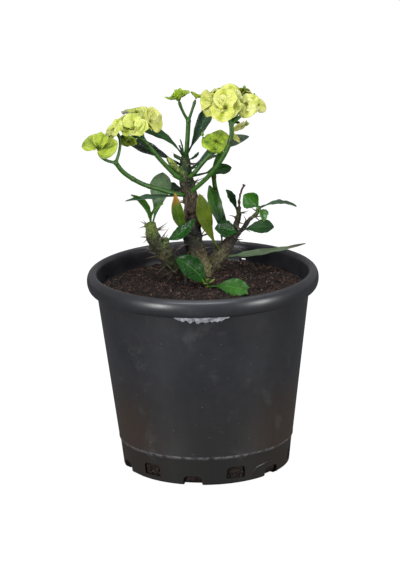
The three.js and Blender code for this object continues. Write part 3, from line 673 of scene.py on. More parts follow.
# each leaf's dark and light tone, the tone of its rib and veins, and what else its finish has
leafLooks = {
    "dark": makeLeaf("leafDark", (0.006, 0.026, 0.007), (0.018, 0.062, 0.014), (0.06, 0.13, 0.045),
                     rough=0.45, coat=0.06, shine=0.15),
    "crown": makeLeaf("leafCrown", (0.006, 0.024, 0.011), (0.022, 0.062, 0.022), (0.08, 0.15, 0.07),
                      rough=0.25, coat=0.3, wrinkle=1.3, glints=0.5),
    "glossy": makeLeaf("leafGlossyBlack", (0.003, 0.007, 0.005), (0.012, 0.03, 0.014), (0.03, 0.07, 0.035),
                       rough=0.14, coat=0.8, wrinkle=1.8, glints=1.4),
    "deep": makeLeaf("leafDeepGreen", (0.003, 0.022, 0.002), (0.01, 0.062, 0.006), (0.05, 0.16, 0.03),
                     rough=0.36, coat=0.1, wrinkle=0.7, shine=0.12, glints=0.3),
    "bright": makeLeaf("leafBrightGreen", (0.012, 0.07, 0.004), (0.038, 0.15, 0.011), (0.09, 0.25, 0.04),
                       margin=(0.02, 0.08, 0.008), rough=0.4, coat=0.12, wrinkle=0.6),
    "fresh": makeLeaf("leafFreshGreen", (0.012, 0.055, 0.005), (0.04, 0.125, 0.013), (0.1, 0.2, 0.035),
                      margin=(0.1, 0.16, 0.02), rough=0.32),
    "under": makeLeaf("leafShadedSide", (0.016, 0.05, 0.022), (0.045, 0.105, 0.045), (0.1, 0.17, 0.08),
                      rough=0.45, coat=0.05, wrinkle=0.5, veinTint=0.5),
    "dull": makeLeaf("leafDull", (0.026, 0.06, 0.02), (0.09, 0.15, 0.065), (0.12, 0.19, 0.085),
                     rough=0.5, coat=0.05, wrinkle=0.8, veinTint=0.3),
    "dusty": makeLeaf("leafDusty", (0.04, 0.075, 0.028), (0.12, 0.16, 0.085), (0.16, 0.2, 0.1),
                      rough=0.5, coat=0.05, wrinkle=0.6, veinTint=0.3,
                      tip={"colour": (0.05, 0.045, 0.03), "start": 0.8, "end": 1.05}),
    "orange": makeLeaf("leafOrangeTip", (0.016, 0.05, 0.0015), (0.055, 0.11, 0.004), (0.14, 0.19, 0.02),
                       margin=(0.16, 0.13, 0.015), rough=0.36, ribTint=0.5,
                       tip={"colour": (0.38, 0.15, 0.015), "start": 0.86, "end": 1.16}),
    "yellowing": makeLeaf("leafYellowing", (0.042, 0.08, 0.004), (0.11, 0.155, 0.009), (0.17, 0.22, 0.028),
                          margin=(0.07, 0.07, 0.008), rough=0.38, ribTint=0.5,
                          tip={"colour": (0.17, 0.15, 0.015), "start": 0.98, "end": 1.25}),
    "behind": makeLeaf("leafBehind", (0.004, 0.022, 0.004), (0.012, 0.05, 0.009), (0.04, 0.1, 0.03),
                       rough=0.4, coat=0.1,
                       tip={"colour": (0.045, 0.15, 0.012), "start": 0.6, "end": 0.98}),
    "shoot": makeLeaf("leafShoot", (0.16, 0.2, 0.012), (0.38, 0.4, 0.05), (0.45, 0.42, 0.1), rough=0.42),
}
leafBelow = makeLeaf("leafBelow", (0.018, 0.052, 0.018), (0.042, 0.1, 0.035), (0.1, 0.17, 0.06),
                     rough=0.55, coat=0.0)
bractLooks = {
    "pale": makeBract("bractPale", (0.62, 0.63, 0.26), (0.5, 0.51, 0.095), (0.29, 0.33, 0.015)),
    "yellow": makeBract("bractYellowGreen", (0.55, 0.58, 0.19), (0.42, 0.46, 0.06), (0.22, 0.28, 0.01)),
    "olive": makeBract("bractOliveGreen", (0.4, 0.46, 0.05), (0.24, 0.31, 0.014), (0.09, 0.16, 0.005)),
    "lime": makeBract("bractLime", (0.38, 0.5, 0.04), (0.24, 0.36, 0.014), (0.08, 0.17, 0.005),
                      blush=(0.22, 0.2, 0.03)),
}
cupGreen = makePlain("cupGreen", (0.05, 0.13, 0.01), (0.15, 0.28, 0.03))
glandYellow = makePlain("glandYellow", (0.3, 0.28, 0.03), (0.5, 0.46, 0.08))
witheredGrey = makePlain("witheredGrey", (0.07, 0.065, 0.05), (0.3, 0.29, 0.23))
rustyTip = makePlain("rustyTip", (0.12, 0.05, 0.015), (0.3, 0.14, 0.04))
print("materials ready")

# pot (all sizes in mm, as in the part; the roofs are the arches moulded round the notches)

pot = {
    "wallFoot": 62.3, "slope": 0.126, "wall": 1.5, "step": 22, "floor": 8, "footInner": 50.5,
    "footOuter": 58.5, "turns": 160, "weld": 0.002,
    "lip": [(79.3, 132.8), (81.6, 133.4), (83.5, 134.9), (84.6, 137.4), (85, 140.6), (84.6, 143.4),
            (83.4, 145.6), (81.2, 146.9), (79.2, 146.6), (77.8, 145.2), (77.3, 142.6)],
    "skirt": (2, 3.5, 5, 6.5, 8, 9.5, 11, 12.5, 14, 15.5, 18),
    "roofs": {"count": 6, "heading": -10, "width": 17, "low": 1.4, "high": 9.5, "corner": 5,
              "start": 45.5, "end": 60.2},
    "notches": {"count": 6, "heading": -10, "width": 14, "low": -1, "high": 8, "corner": 4,
                "start": 47, "end": 70},
    "windows": {"count": 6, "heading": 20, "width": 14.5, "low": 5, "high": 14, "corner": 3,
                "start": 59, "end": 70},
    "hangers": {"count": 4, "heading": -23, "width": 5, "low": 133.2, "high": 135.2, "corner": 0.6,
                "start": 72, "end": 82},
    "paleStrip": {"from": -15, "to": 13, "drop": 5.4, "top": 133.9, "radius": 82.7, "lean": 2.2,
              "thickness": 0.35},
    "mouldLine": [(33, 3), (33, 6.5), (34, 9), (37, 11), (43, 12.2), (49, 12.6)],
}


def wallAt(z):
    return pot["wallFoot"] + pot["slope"] * (z - 8)


def insideAt(z):
    return wallAt(z) - pot["wall"]


# half outline of the pot, from under the middle of its floor round the lip to the top of the floor
def potProfile():
    inner, outer, floorTop, step = pot["footInner"], pot["footOuter"], pot["floor"], pot["step"]
    floorUnder = floorTop - pot["wall"]
    lip = smoothLine([
        (wallAt(132.2), 0, 132.2), *((r, 0, z) for r, z in pot["lip"]),
        (insideAt(134) + 0.4, 0, 134), (insideAt(132) + 0.3, 0, 132)], 34)
    return [
        (0, floorUnder), (inner - 1.5, floorUnder), (inner - 0.6, floorUnder - 0.7),
        (inner, 0.4), (inner + 0.4, 0), (outer - 0.8, 0), (outer, 0.3),
        *((wallAt(z) - 0.3 - 0.2 * z / 21, z) for z in pot["skirt"]),
        (wallAt(step) - 0.5, step - 0.6), (wallAt(step) - 0.1, step - 0.3),
        (wallAt(step) + 0.2, step + 0.1), (wallAt(step + 0.8) + 0.15, step + 0.8),
        (wallAt(step + 1.6), step + 1.6),
        (wallAt(60), 60), (wallAt(95), 95), (wallAt(125), 125),
        *((p.x / mm, p.z / mm) for p in lip),
        (insideAt(131.2) - 0.5, 131.2), (insideAt(130.6) - 0.5, 130.6),
        (insideAt(60) - 0.3, 60), (insideAt(6) - 0.4, 6), (outer, pot["wall"]),
        (inner + 1.5, pot["wall"]), (inner, floorTop), (0, floorTop),
    ]


# outline of loose edges from the axis round to the axis, spun into a closed skin
def spun(name, profile, turns):
    clearSelection()
    bpy.ops.mesh.primitive_circle_add(vertices=len(profile), fill_type="NOTHING")
    piece = bpy.context.object
    piece.name = name
    for vertex, (r, z) in zip(piece.data.vertices, profile):
        vertex.co = (r * mm, 0, z * mm)
    bpy.ops.object.mode_set(mode="EDIT")
    outline = bmesh.from_edit_mesh(piece.data)
    for edge in list(outline.edges):
        if all(vertex.co.x < 1e-7 for vertex in edge.verts):
            outline.edges.remove(edge)
    bmesh.update_edit_mesh(piece.data)
    bpy.ops.mesh.select_all(action="SELECT")
    bpy.ops.mesh.spin(steps=turns, angle=2 * math.pi, center=(0, 0, 0), axis=(0, 0, 1))
    bpy.ops.mesh.select_all(action="SELECT")
    bpy.ops.mesh.remove_doubles(threshold=0.02 * mm)
    bpy.ops.mesh.normals_make_consistent(inside=False)
    bpy.ops.object.mode_set(mode="OBJECT")
    return piece


# bar that runs outward from the pot's axis, its two upper long edges rounded
def radialBar(heading, spec):
    low, high, start, end = spec["low"], spec["high"], spec["start"], spec["end"]
    clearSelection()
    bpy.ops.mesh.primitive_cube_add(size=1, location=(0, 0, 0))
    bar = bpy.context.object
    bar.dimensions = (spec["width"] * mm, (end - start) * mm, (high - low) * mm)
    bpy.ops.object.transform_apply(location=False, rotation=False, scale=True)
    bpy.ops.object.mode_set(mode="EDIT")
    bpy.ops.mesh.select_all(action="DESELECT")
    form = bmesh.from_edit_mesh(bar.data)
    for edge in form.edges:
        lengthwise = abs(edge.verts[0].co.y - edge.verts[1].co.y) > 1e-6
        if lengthwise and edge.verts[0].co.z > 0:
            edge.select_set(True)
    form.select_flush_mode()
    bmesh.update_edit_mesh(bar.data)
    bpy.ops.mesh.bevel(offset=spec["corner"] * mm, segments=6, affect="EDGES")
    bpy.ops.object.mode_set(mode="OBJECT")
    bar.location = (0, -(start + end) / 2 * mm, (low + high) / 2 * mm)
    bpy.ops.object.transform_apply(location=True, rotation=False, scale=False)
    bar.rotation_euler = (0, 0, math.radians(heading))
    bpy.ops.object.transform_apply(location=False, rotation=True, scale=False)
    return bar


def ringOfBars(spec):
    return [radialBar(spec["heading"] + i * 360 / spec["count"], spec) for i in range(spec["count"])]


def combine(piece, bars, operation):
    tool = joined(bars, "tool")
    addModifier(piece, "BOOLEAN", operation=operation, object=tool, solver="EXACT", use_self=True)
    applyModifiers(piece)
    discard(tool)


# merges points nearly in one place, which the cuts leave and which would collapse faces in the export
def weld(piece, distance):
    pick(piece)
    bpy.ops.object.mode_set(mode="EDIT")
    bpy.ops.mesh.select_all(action="SELECT")
    bpy.ops.mesh.remove_doubles(threshold=distance * mm)
    bpy.ops.object.mode_set(mode="OBJECT")


# point round the pot's axis, its heading counted from the front
def atHeading(heading, r, z):
    h = math.radians(heading - 90)
    return (r * math.cos(h), r * math.sin(h), z)


def makePot():
    shell = spun("nursery_pot", potProfile(), pot["turns"])
    combine(shell, ringOfBars(pot["roofs"]), "UNION")
    cutters = [bar for kind in ("notches", "windows", "hangers") for bar in ringOfBars(pot[kind])]
    combine(shell, cutters, "DIFFERENCE")
    embossed = [atHeading(h, wallAt(z) - (0.25 if z < 12 else 0.1), z) for h, z in pot["mouldLine"]]
    line = tube("mould_line", smoothLine(embossed), [0.45, 0.5, 0.5, 0.45], 2)
    body = joined([shell, line], "nursery_pot")
    weld(body, pot["weld"])
    settle(body, 32)
    give(body, ["pot"], "black_plastic", blackPlastic)


# thin ragged pale strip under the front of the lip
def makePaleStrip():
    paleStrip = pot["paleStrip"]

    def place(across, down):
        heading = mix(paleStrip["from"], paleStrip["to"], (across + 1) / 2)
        reach = (1 - across * across) ** 0.6
        torn = 0.4 * noise.noise(Vector((heading * 0.5, 3, 0)))
        frayed = 0.16 * noise.noise(Vector((heading * 2, 0, 5)))
        drop = paleStrip["drop"] * reach * (0.7 + torn + frayed) * down
        uneven = 0.25 * noise.noise(Vector((heading * 2, down * 3, 1)))
        r = paleStrip["radius"] - paleStrip["lean"] * down * reach + uneven
        return Vector(atHeading(heading, r, paleStrip["top"] - drop)) * mm

    strip = shapedGrid("lip_pale_strip", 60, 5, place)
    addModifier(strip, "SOLIDIFY", thickness=paleStrip["thickness"] * mm, offset=0)
    applyModifiers(strip)
    settle(strip, 40)
    give(strip, [], "black_plastic", paleStripPlastic)


makePot()
makePaleStrip()
print("pot ready")

# soil

soil = {
    "edge": 132.4, "mound": 134.8, "turns": 300, "ring": 0.7, "over": 165,
    "bumps": [(9, 1.8), (3.2, 2.6), (1.3, 1.7)],
    "heap": {"height": 4.6, "reach": 17, "at": (-2, 17)},
}
litter = {
    "coir_fibres": {"count": 1500, "small": 2.5, "large": 8, "upright": 0.22},
    "pale_fibres": {"count": 420, "small": 2, "large": 6.5, "upright": 0.25},
    "peat_crumbs": {"count": 1300, "small": 0.8, "large": 3.2, "upright": 0.5},
    "pale_chips": {"count": 90, "small": 0.6, "large": 1.7, "upright": 0.5},
}
openingCrumbs = {"count": 330, "small": 0.8, "large": 2, "inner": 59.7, "outer": 60.7, "aside": 5.4}
litterSeed = 5


def makeSoil():
    edge = insideAt(soil["edge"]) - 0.9
    inner, outer = pot["footInner"], pot["footOuter"]
    ledge, onFloor = pot["wall"] + 0.35, pot["floor"] + 0.35
    rings = int(edge / soil["ring"])
    top = [edge * (1 - k / rings) for k in range(rings + 1)]
    rise = soil["mound"] - soil["edge"]
    profile = [(0, onFloor), (inner + 0.4, onFloor), (inner + 1.9, ledge), (outer - 0.5, ledge),
               (insideAt(6) - 0.9, 6.2), *((insideAt(z) - 0.9, z) for z in (14, 60, 120))]
    profile += [(r, soil["edge"] + rise * math.cos(r / edge * math.pi / 2) ** 2) for r in top]
    piece = spun("soil_bed", profile, soil["turns"])
    upper = piece.vertex_groups.new(name="upper")
    for vertex in piece.data.vertices:
        high = ease((vertex.co.z / mm - soil["edge"] + 1) / 1.5)
        if high > 0:
            upper.add([vertex.index], high, "REPLACE")
            vertex.co.z += high * heapedAt(vertex.co.x / mm, vertex.co.y / mm) * mm
    for size, strength in soil["bumps"]:
        roughen(piece, f"earth{size}", size, strength, 3, direction="Z", mid_level=0.42,
                vertex_group="upper")
    applyModifiers(piece)
    settle(piece, "all")
    give(piece, ["soil"], "soil", peat)
    return piece


# further earth heaped round the trunk
def heapedAt(x, y):
    heap = soil["heap"]
    return heap["height"] * math.exp(-((math.dist((x, y), heap["at"]) / heap["reach"]) ** 2))


def surfaceSpot(bed, x, y):
    hit, spot, normal, _ = bed.ray_cast(Vector((x, y, soil["over"] * mm)), Vector((0, 0, -1)))
    return (spot, normal) if hit else (Vector((x, y, soil["edge"] * mm)), Vector((0, 0, 1)))


def fibrePattern(name, bends, thickness):
    rand = random.Random(name)
    line = [Vector((k / 6 - 0.5, 0.13 * bends * math.sin(k * 1.1 + rand.random()),
                    0.1 * math.sin(k * 0.9 + 3 * rand.random()))) for k in range(7)]
    return tube(name, line, [thickness * 0.5, thickness, thickness, thickness * 0.4], 0)


def crumbPattern(name, seed):
    clearSelection()
    bpy.ops.mesh.primitive_ico_sphere_add(subdivisions=2, radius=0.5)
    crumb = bpy.context.object
    crumb.name = name
    for vertex in crumb.data.vertices:
        swell = noise.noise(vertex.co * 2.4 + Vector((seed * 7.3, 0, 0)))
        vertex.co *= 1 + 0.75 * swell
        vertex.co.z *= 0.7
    return crumb


# bits lying on the bed, most of them level with it and half sunk
def litterSpots(bed, rand, count, small, large, upright):
    spots = []
    edge = (insideAt(soil["edge"]) - 2.2) * mm
    while len(spots) < count:
        x, y = (rand.uniform(-edge, edge) for _ in range(2))
        if math.hypot(x, y) > edge:
            continue
        spot, normal = surfaceSpot(bed, x, y)
        tilt = Vector((0, 0, 1)).rotation_difference(normal).to_matrix()
        lean = Matrix.Rotation(rand.gauss(0, upright), 3, "Y")
        lean = lean @ Matrix.Rotation(rand.gauss(0, upright), 3, "X")
        turned = tilt @ Matrix.Rotation(rand.uniform(0, 2 * math.pi), 3, "Z") @ lean
        size = mix(small, large, rand.random() ** 2) * mm
        matrix = turned.to_4x4() @ Matrix.Diagonal((size, size, size, 1))
        matrix.translation = spot + normal * 0.12 * mm
        spots.append((rand.randrange(3), matrix))
    return spots


# crumbs that show in the openings low on the wall
def openingSpots(rand):
    spots = []
    crumb, window = openingCrumbs, pot["windows"]
    low, high = window["low"] + 0.6, window["high"] - 0.8
    for k in range(crumb["count"]):
        middle = window["heading"] + 360 / window["count"] * (k % window["count"])
        heading = middle + rand.uniform(-crumb["aside"], crumb["aside"])
        turned = Matrix.Rotation(rand.uniform(0, 6.28), 3, "X")
        turned = turned @ Matrix.Rotation(rand.uniform(0, 6.28), 3, "Z")
        size = mix(crumb["small"], crumb["large"], rand.random()) * mm
        matrix = turned.to_4x4() @ Matrix.Diagonal((size, size, size, 1))
        r = rand.uniform(crumb["inner"], crumb["outer"])
        matrix.translation = Vector(atHeading(heading, r, rand.uniform(low, high))) * mm
        spots.append((rand.randrange(3), matrix))
    return spots


soilBed = makeSoil()
rand = random.Random(litterSeed)
threads = [fibrePattern(f"thread{k}", 1 + k * 0.6, 34) for k in range(3)]
grains = [crumbPattern(f"grain{k}", k) for k in range(3)]
kinds = {
    "coir_fibres": (threads, reddishFibre), "pale_fibres": (threads, paleFibre),
    "peat_crumbs": (grains, peatCrumb), "pale_chips": (grains, paleFibre),
}
for name, (patterns, material) in kinds.items():
    spots = litterSpots(soilBed, rand, **litter[name])
    if name == "peat_crumbs":
        spots += openingSpots(rand)
    give(scatter(name, patterns, spots), [], "soil", material)
discard(*threads, *grains)
print("soil ready")

# woody stems

stems = {
    "main": {
        "path": [(1, 16, 98), (1, 16, 131), (0, 16, 141), (-2, 16, 148), (-5, 16, 157), (-7, 16, 169),
                 (-7, 16, 181), (-7, 16, 194), (-10, 16, 206), (-11, 16, 218), (-11, 16, 230)],
        "radii": [6.5, 7, 7.4, 7.2, 7, 6.9, 6.6, 5.7, 5.4, 4.8, 2.8],
        "tones": [(0.07, 0.05, 0.025), (0.07, 0.05, 0.025), (0.1, 0.08, 0.04), (0.15, 0.125, 0.055),
                  (0.22, 0.2, 0.09), (0.1, 0.085, 0.04), (0.005, 0.0045, 0.0035), (0.009, 0.008, 0.006),
                  (0.085, 0.06, 0.038), (0.15, 0.11, 0.075), (0.024, 0.03, 0.012), (0.016, 0.045, 0.012),
                  (0.02, 0.07, 0.016)],
    },
    "left": {
        "path": [(-2, 14, 138), (-12, 9, 144), (-22, 4, 151), (-28, 0, 161), (-33, -2, 168), (-36, -3, 174),
                 (-37, -4, 184)],
        "radii": [5.4, 6.2, 6.4, 6.2, 5.8, 5.2, 3.8],
        "tones": [(0.05, 0.04, 0.022), (0.035, 0.035, 0.013), (0.026, 0.028, 0.009), (0.016, 0.018, 0.006),
                  (0.028, 0.034, 0.01), (0.15, 0.22, 0.04)],
    },
    "stub": {"path": [(-28, -1, 161), (-26, -4, 168), (-26, -6, 173)], "radii": [3.2, 2.8, 1.6],
             "tones": [(0.07, 0.06, 0.026), (0.08, 0.1, 0.035), (0.09, 0.15, 0.04)]},
    "right": {
        "path": [(2, 18, 137), (7, 22, 145), (13, 25, 151), (18, 27, 157), (24, 28, 165)],
        "radii": [5, 5.4, 5.3, 4.8, 3],
        "tones": [(0.05, 0.034, 0.02), (0.11, 0.09, 0.04), (0.11, 0.1, 0.045), (0.05, 0.04, 0.024),
                  (0.035, 0.03, 0.015)],
    },
    "twigBack": {
        "path": [(21, 28, 161), (25, 29, 171), (27, 30, 178), (28, 30, 186)],
        "radii": [2.7, 2.3, 2.1, 1.5],
        "tones": [(0.025, 0.018, 0.012), (0.05, 0.04, 0.02), (0.09, 0.1, 0.028)],
    },
    "driedStalk": {
        "path": [(28, 30, 184), (28, 29, 191), (30, 29, 199), (32, 29, 203)],
        "radii": [1.2, 0.9, 0.8, 1.1],
        "tones": [(0.09, 0.07, 0.05), (0.08, 0.06, 0.05), (0.06, 0.045, 0.045)],
    },
    "twigFront": {
        "path": [(21, 27.5, 161), (30, 26, 170), (35, 24, 177), (40, 22, 182), (43, 21, 188)],
        "radii": [2.5, 1.8, 1.6, 1.5, 1.2],
        "tones": [(0.025, 0.02, 0.014), (0.015, 0.014, 0.010), (0.03, 0.035, 0.014), (0.07, 0.14, 0.025)],
    },
    "sideBud": {
        "path": [(-12, 15.5, 214), (-17, 13, 219), (-21, 11, 225), (-24, 10, 230)],
        "radii": [2.2, 2.4, 2.7, 1.4],
        "tones": [(0.06, 0.08, 0.03), (0.15, 0.24, 0.05), (0.32, 0.45, 0.1), (0.55, 0.65, 0.17)],
    },
}
bark = {
    "voxel": 0.42, "bumps": [(4.2, 1.5), (1.4, 0.8)], "seed": 11, "goldenTurn": 137.5, "scarStep": 3.1,
    "scarred": ("main", "left", "stub", "right", "twigBack", "twigFront"), "firstScar": 3,
    "firstOnTrunk": 36, "twigRadius": 3,
}
spines = {"length": 12.5, "radii": [0.6, 0.46, 0.34, 0.2, 0.05], "spread": 38, "bend": 1.1}

stemLines = {name: smoothLine(stem["path"], 100) for name, stem in stems.items()}


# pads where old leaves sat, in a spiral up each stem, each with its outward direction
def leafScars():
    rand = random.Random(bark["seed"])
    found = []
    for name in bark["scarred"]:
        line, radii = stemLines[name], stems[name]["radii"]
        reach = lineLength(line) / mm
        run = bark["firstOnTrunk"] if name == "main" else bark["firstScar"]
        turn = rand.uniform(0, 360)
        while run < reach - 1:
            turn += bark["goldenTurn"]
            share = run / reach
            spot, ahead = onLine(line, share)
            side = Vector((0, 0, 1)) if abs(ahead.z) < 0.9 else Vector((1, 0, 0))
            side = (side - ahead * side.dot(ahead)).normalized()
            side = Quaternion(ahead, math.radians(turn)) @ side
            radius = along(radii, share)
            found.append({"spot": spot + side * radius * 0.9 * mm, "out": side, "ahead": ahead,
                          "radius": radius, "size": rand.uniform(0.6, 1.15)})
            sparser = 1 if radius > bark["twigRadius"] else 1.25
            run += bark["scarStep"] * sparser * rand.uniform(0.8, 1.2)
    return found


# the tones painted on the bark, each from the nearest stems' own
def toneOnStems():
    tree = KDTree(sum(len(line) for line in stemLines.values()))
    tones = []
    for name, line in stemLines.items():
        for i, spot in enumerate(line):
            tree.insert(spot, len(tones))
            tones.append(alongColours(stems[name]["tones"], i / (len(line) - 1)))
    tree.balance()

    def shade(spot):
        near = tree.find_n(spot, 3)
        return tuple(sum(tones[n][c] for _, n, _ in near) / 3 for c in range(3))
    return shade


def alongColours(tones, share):
    return tuple(along([tone[c] for tone in tones], share) for c in range(3))


def makeStems(scars):
    forms = [tube(f"stem_{name}", stemLines[name], stem["radii"], 6) for name, stem in stems.items()]
    for scar in scars:
        clearSelection()
        bpy.ops.mesh.primitive_uv_sphere_add(segments=10, ring_count=6, radius=mm)
        pad = bpy.context.object
        width = (0.5 + 0.2 * scar["radius"]) * scar["size"]
        across = scar["out"].cross(scar["ahead"])
        axes = Matrix((scar["out"] * width * 0.95, across * width * 1.7, scar["ahead"] * width * 1.15))
        matrix = axes.transposed().to_4x4()
        matrix.translation = scar["spot"] + scar["out"] * 0.1 * scar["radius"] * mm
        pad.matrix_world = matrix
        forms.append(pad)
    piece = joined(forms, "woody_bark")
    settle(piece)
    fuse(piece, bark["voxel"], 3)
    for size, strength in bark["bumps"]:
        roughen(piece, f"bark{size}", size, strength, 2, mid_level=0.5)
    applyModifiers(piece)
    paint(piece, toneOnStems())
    settle(piece, "all")
    give(piece, ["woody_stems"], "bark", trunkBark)


# one horn, as a pattern for all the spines
def spinePattern(name, bend):
    line = [Vector((bend * mm * (k / 4) ** 2, 0, k / 4)) for k in range(5)]
    return tube(name, line, spines["radii"], 1)


# one to three spines at each leaf scar
def makeSpines(scars):
    rand = random.Random(bark["seed"] + 1)
    horns = [spinePattern(f"horn{k}", spines["bend"] * (k - 1)) for k in range(3)]
    placements = []
    for scar in scars:
        across = scar["out"].cross(scar["ahead"])
        thick = scar["radius"] > bark["twigRadius"]
        count = rand.choice((2, 3, 3) if thick else (1, 2))
        for side in (-1, 1, 0.3)[:count]:
            spread = math.radians(spines["spread"] * rand.uniform(0.4, 1.3)) * side
            pointing = scar["out"] * math.cos(spread) + across * math.sin(spread)
            pointing = pointing + scar["ahead"] * rand.uniform(-0.1, 0.5)
            length = spines["length"] * rand.uniform(0.45, 1) * (1 if thick else 0.62)
            turned = pointing.to_track_quat("Z", "X").to_matrix()
            turned = turned @ Matrix.Rotation(rand.uniform(0, 6.28), 3, "Z")
            matrix = turned.to_4x4() @ Matrix.Diagonal((1, 1, length * mm, 1))
            matrix.translation = scar["spot"] + across * side * 0.7 * mm
            placements.append((rand.randrange(3), matrix))
    piece = scatter("stem_spines", horns, placements)
    discard(*horns)
    give(piece, [], "bark", spineHorn)


scars = leafScars()
makeStems(scars)
makeSpines(scars)
print("woody stems ready")

# the young shoot in front of the trunk

sprout = {
    "path": [(3, -7, 118), (3, -8, 130), (3, -9, 138)], "radii": [1.6, 1.8, 1.2],
    "tones": [(0.1, 0.05, 0.03), (0.13, 0.075, 0.03), (0.2, 0.17, 0.04)],
    "leaflets": [(20, 7, 36), (115, 7, 44), (200, 7, 52), (290, 7, 60), (250, 6, 30), (340, 5.5, 46),
                 (70, 5, 66)],
    "width": 3.2,
}
stemLines["sprout"] = smoothLine(sprout["path"], 100)

# leaves: where each starts on its stem, where it points, how it bows and turns

leaves = {
    "leaf_crown_tall": dict(on="main", at=0.985, heading=18, rise=60, length=45, width=13, roll=30,
                            arch=-0.5, widest=0.66, look="crown"),
    "leaf_crown_back": dict(on="main", at=0.96, heading=96, rise=1, length=27, width=11, roll=60, arch=3,
                            look="dark"),
    "leaf_crown_left_arched": dict(on="main", at=0.975, heading=-169, rise=36, length=42, width=9.5,
                                   roll=-30, arch=5, fold=0.3, look="dark"),
    "leaf_crown_left_glossy": dict(on="main", at=0.925, heading=-162, rise=28, length=51, width=11.5,
                                   roll=-42, arch=2, petiole=0.22, look="glossy"),
    "leaf_crown_bud": dict(on="main", at=0.988, heading=-168, rise=76, length=14, width=2.6, small=True,
                           look="dark"),
    "leaf_crown_small_right": dict(on="main", at=0.985, heading=-48, rise=24, length=16, width=5, arch=-3,
                                   small=True, look="under"),
    "leaf_crown_small_left": dict(on="main", at=0.98, heading=-124, rise=24, length=15.5, width=5,
                                  arch=-2.5, small=True, look="under"),
    "leaf_crown_right_long": dict(on="main", at=0.885, heading=26, rise=23, length=57, width=13, roll=25,
                                  arch=5, petiole=0.2, look="crown"),
    "leaf_right_round_behind": dict(on="main", at=0.87, heading=24, rise=5, length=37, width=11, roll=35,
                                    petiole=0.42, widest=0.62, look="deep"),
    "leaf_right_thin_behind": dict(on="main", at=0.9, heading=43, rise=9, length=41, width=6, arch=2,
                                   petiole=0.3, look="glossy"),
    "leaf_left_tall_behind": dict(on="left", at=0.94, heading=71, rise=51, length=45, width=16, roll=14,
                                  arch=-2, petiole=0.05, widest=0.76, look="dull"),
    "leaf_trunk_back": dict(on="main", at=0.74, heading=150, rise=12, length=30, width=12, roll=-20, arch=3,
                            look="dark"),
    "leaf_left_level": dict(on="main", at=0.765, heading=-143, rise=6, length=59, width=9.5, roll=-2,
                            arch=1, widest=0.5, look="under"),
    "leaf_left_branch_curved": dict(on="left", at=0.95, heading=-141, rise=57, length=33, width=5, roll=-90,
                                    arch=5, fold=0.5, petiole=0.06, widest=0.5, look="fresh"),
    "leaf_left_branch_small": dict(on="left", at=0.95, heading=-21, rise=62, length=21, width=3.6, roll=40,
                                   arch=4, small=True, look="fresh"),
    "leaf_trunk_orange_tip": dict(on="main", at=0.525, heading=-128, rise=63, length=42.5, width=9.4,
                                  roll=-117, arch=-6, petiole=0.28, widest=0.52, look="orange"),
    "leaf_stub_glossy": dict(on="stub", at=0.85, heading=-10, rise=38, length=27, width=9.5, roll=65,
                             arch=-2, petiole=0.06, widest=0.5, look="deep"),
    "leaf_right_yellowing": dict(on="right", at=0.56, heading=-124, rise=62, length=58, width=12.5,
                                 roll=-115, arch=-4, petiole=0.16, widest=0.68, look="yellowing"),
    "leaf_right_dark_behind": dict(on="right", at=0.6, heading=137, rise=76, length=50, width=10, roll=-45,
                                   arch=3, petiole=0.3, look="behind"),
    "leaf_right_round": dict(on="twigFront", at=0.22, heading=-157, rise=18, length=19.5, width=13,
                             roll=-68, arch=1.5, petiole=0.1, widest=0.52, look="deep"),
    "leaf_twig_dark": dict(on="twigBack", at=0.72, heading=-149, rise=65, length=24, width=7, roll=-65,
                           arch=1.5, look="dark"),
    "leaf_twig_folded": dict(on="twigFront", at=0.97, heading=-165, rise=43, length=16, width=14, roll=-98,
                             arch=0.5, fold=0.5, petiole=0.06, look="bright"),
    "leaf_twig_long": dict(on="twigFront", at=0.97, heading=8, rise=-1, length=28, width=9, roll=6,
                           arch=3.5, petiole=0.12, look="crown"),
    "leaf_twig_curled_front": dict(on="twigFront", at=0.95, heading=-70, rise=-33, length=13, width=6,
                                   arch=2.5, fold=0.4, small=True, look="fresh"),
    "leaf_twig_curled_right": dict(on="twigFront", at=0.9, heading=-30, rise=-12, length=9, width=4, arch=2,
                                   small=True, look="fresh"),
    "leaf_right_blunt": dict(on="twigFront", at=0.33, heading=-16, rise=8, length=25, width=12, roll=48,
                             arch=1, petiole=0.06, widest=0.66, look="dark"),
    "leaf_right_long_low": dict(on="right", at=0.48, heading=5, rise=6, length=65, width=11.5, roll=4,
                                arch=-2.5, petiole=0.2, widest=0.34, look="dusty"),
    "leaf_sprout_glossy": dict(on="sprout", at=0.92, heading=-152, rise=44, length=36, width=17, roll=-75,
                               arch=3, petiole=0.08, widest=0.52, look="deep"),
    "leaf_sprout_low": dict(on="sprout", at=0.9, heading=-33, rise=3, length=37, width=13.5, roll=64,
                            arch=2, petiole=0.22, widest=0.6, notched=True, look="bright"),
}
usualLeaf = {
    "arch": 0, "roll": 0, "fold": 0.18, "petiole": 0.14, "widest": 0.62, "small": False, "notched": False,
}
blade = {"grid": (12, 36), "smallGrid": (8, 20), "thickness": 0.62, "petiole": 1.5, "stalkHalf": 0.62}


# half width of a blade at a share v of the leaf, from the petiole to a short point
def bladeHalf(leaf, v):
    if v <= leaf["petiole"]:
        return blade["stalkHalf"]
    share = (v - leaf["petiole"]) / (1 - leaf["petiole"])
    peak = math.log(0.5) / math.log(leaf["widest"])
    bulge = max(math.sin(math.pi * share ** peak), 0) ** 0.8
    tip = leaf["width"] * 0.22 * share if leaf["notched"] else 0.35
    return max(leaf["width"] / 2 * bulge, tip, blade["stalkHalf"] * (1 - share))


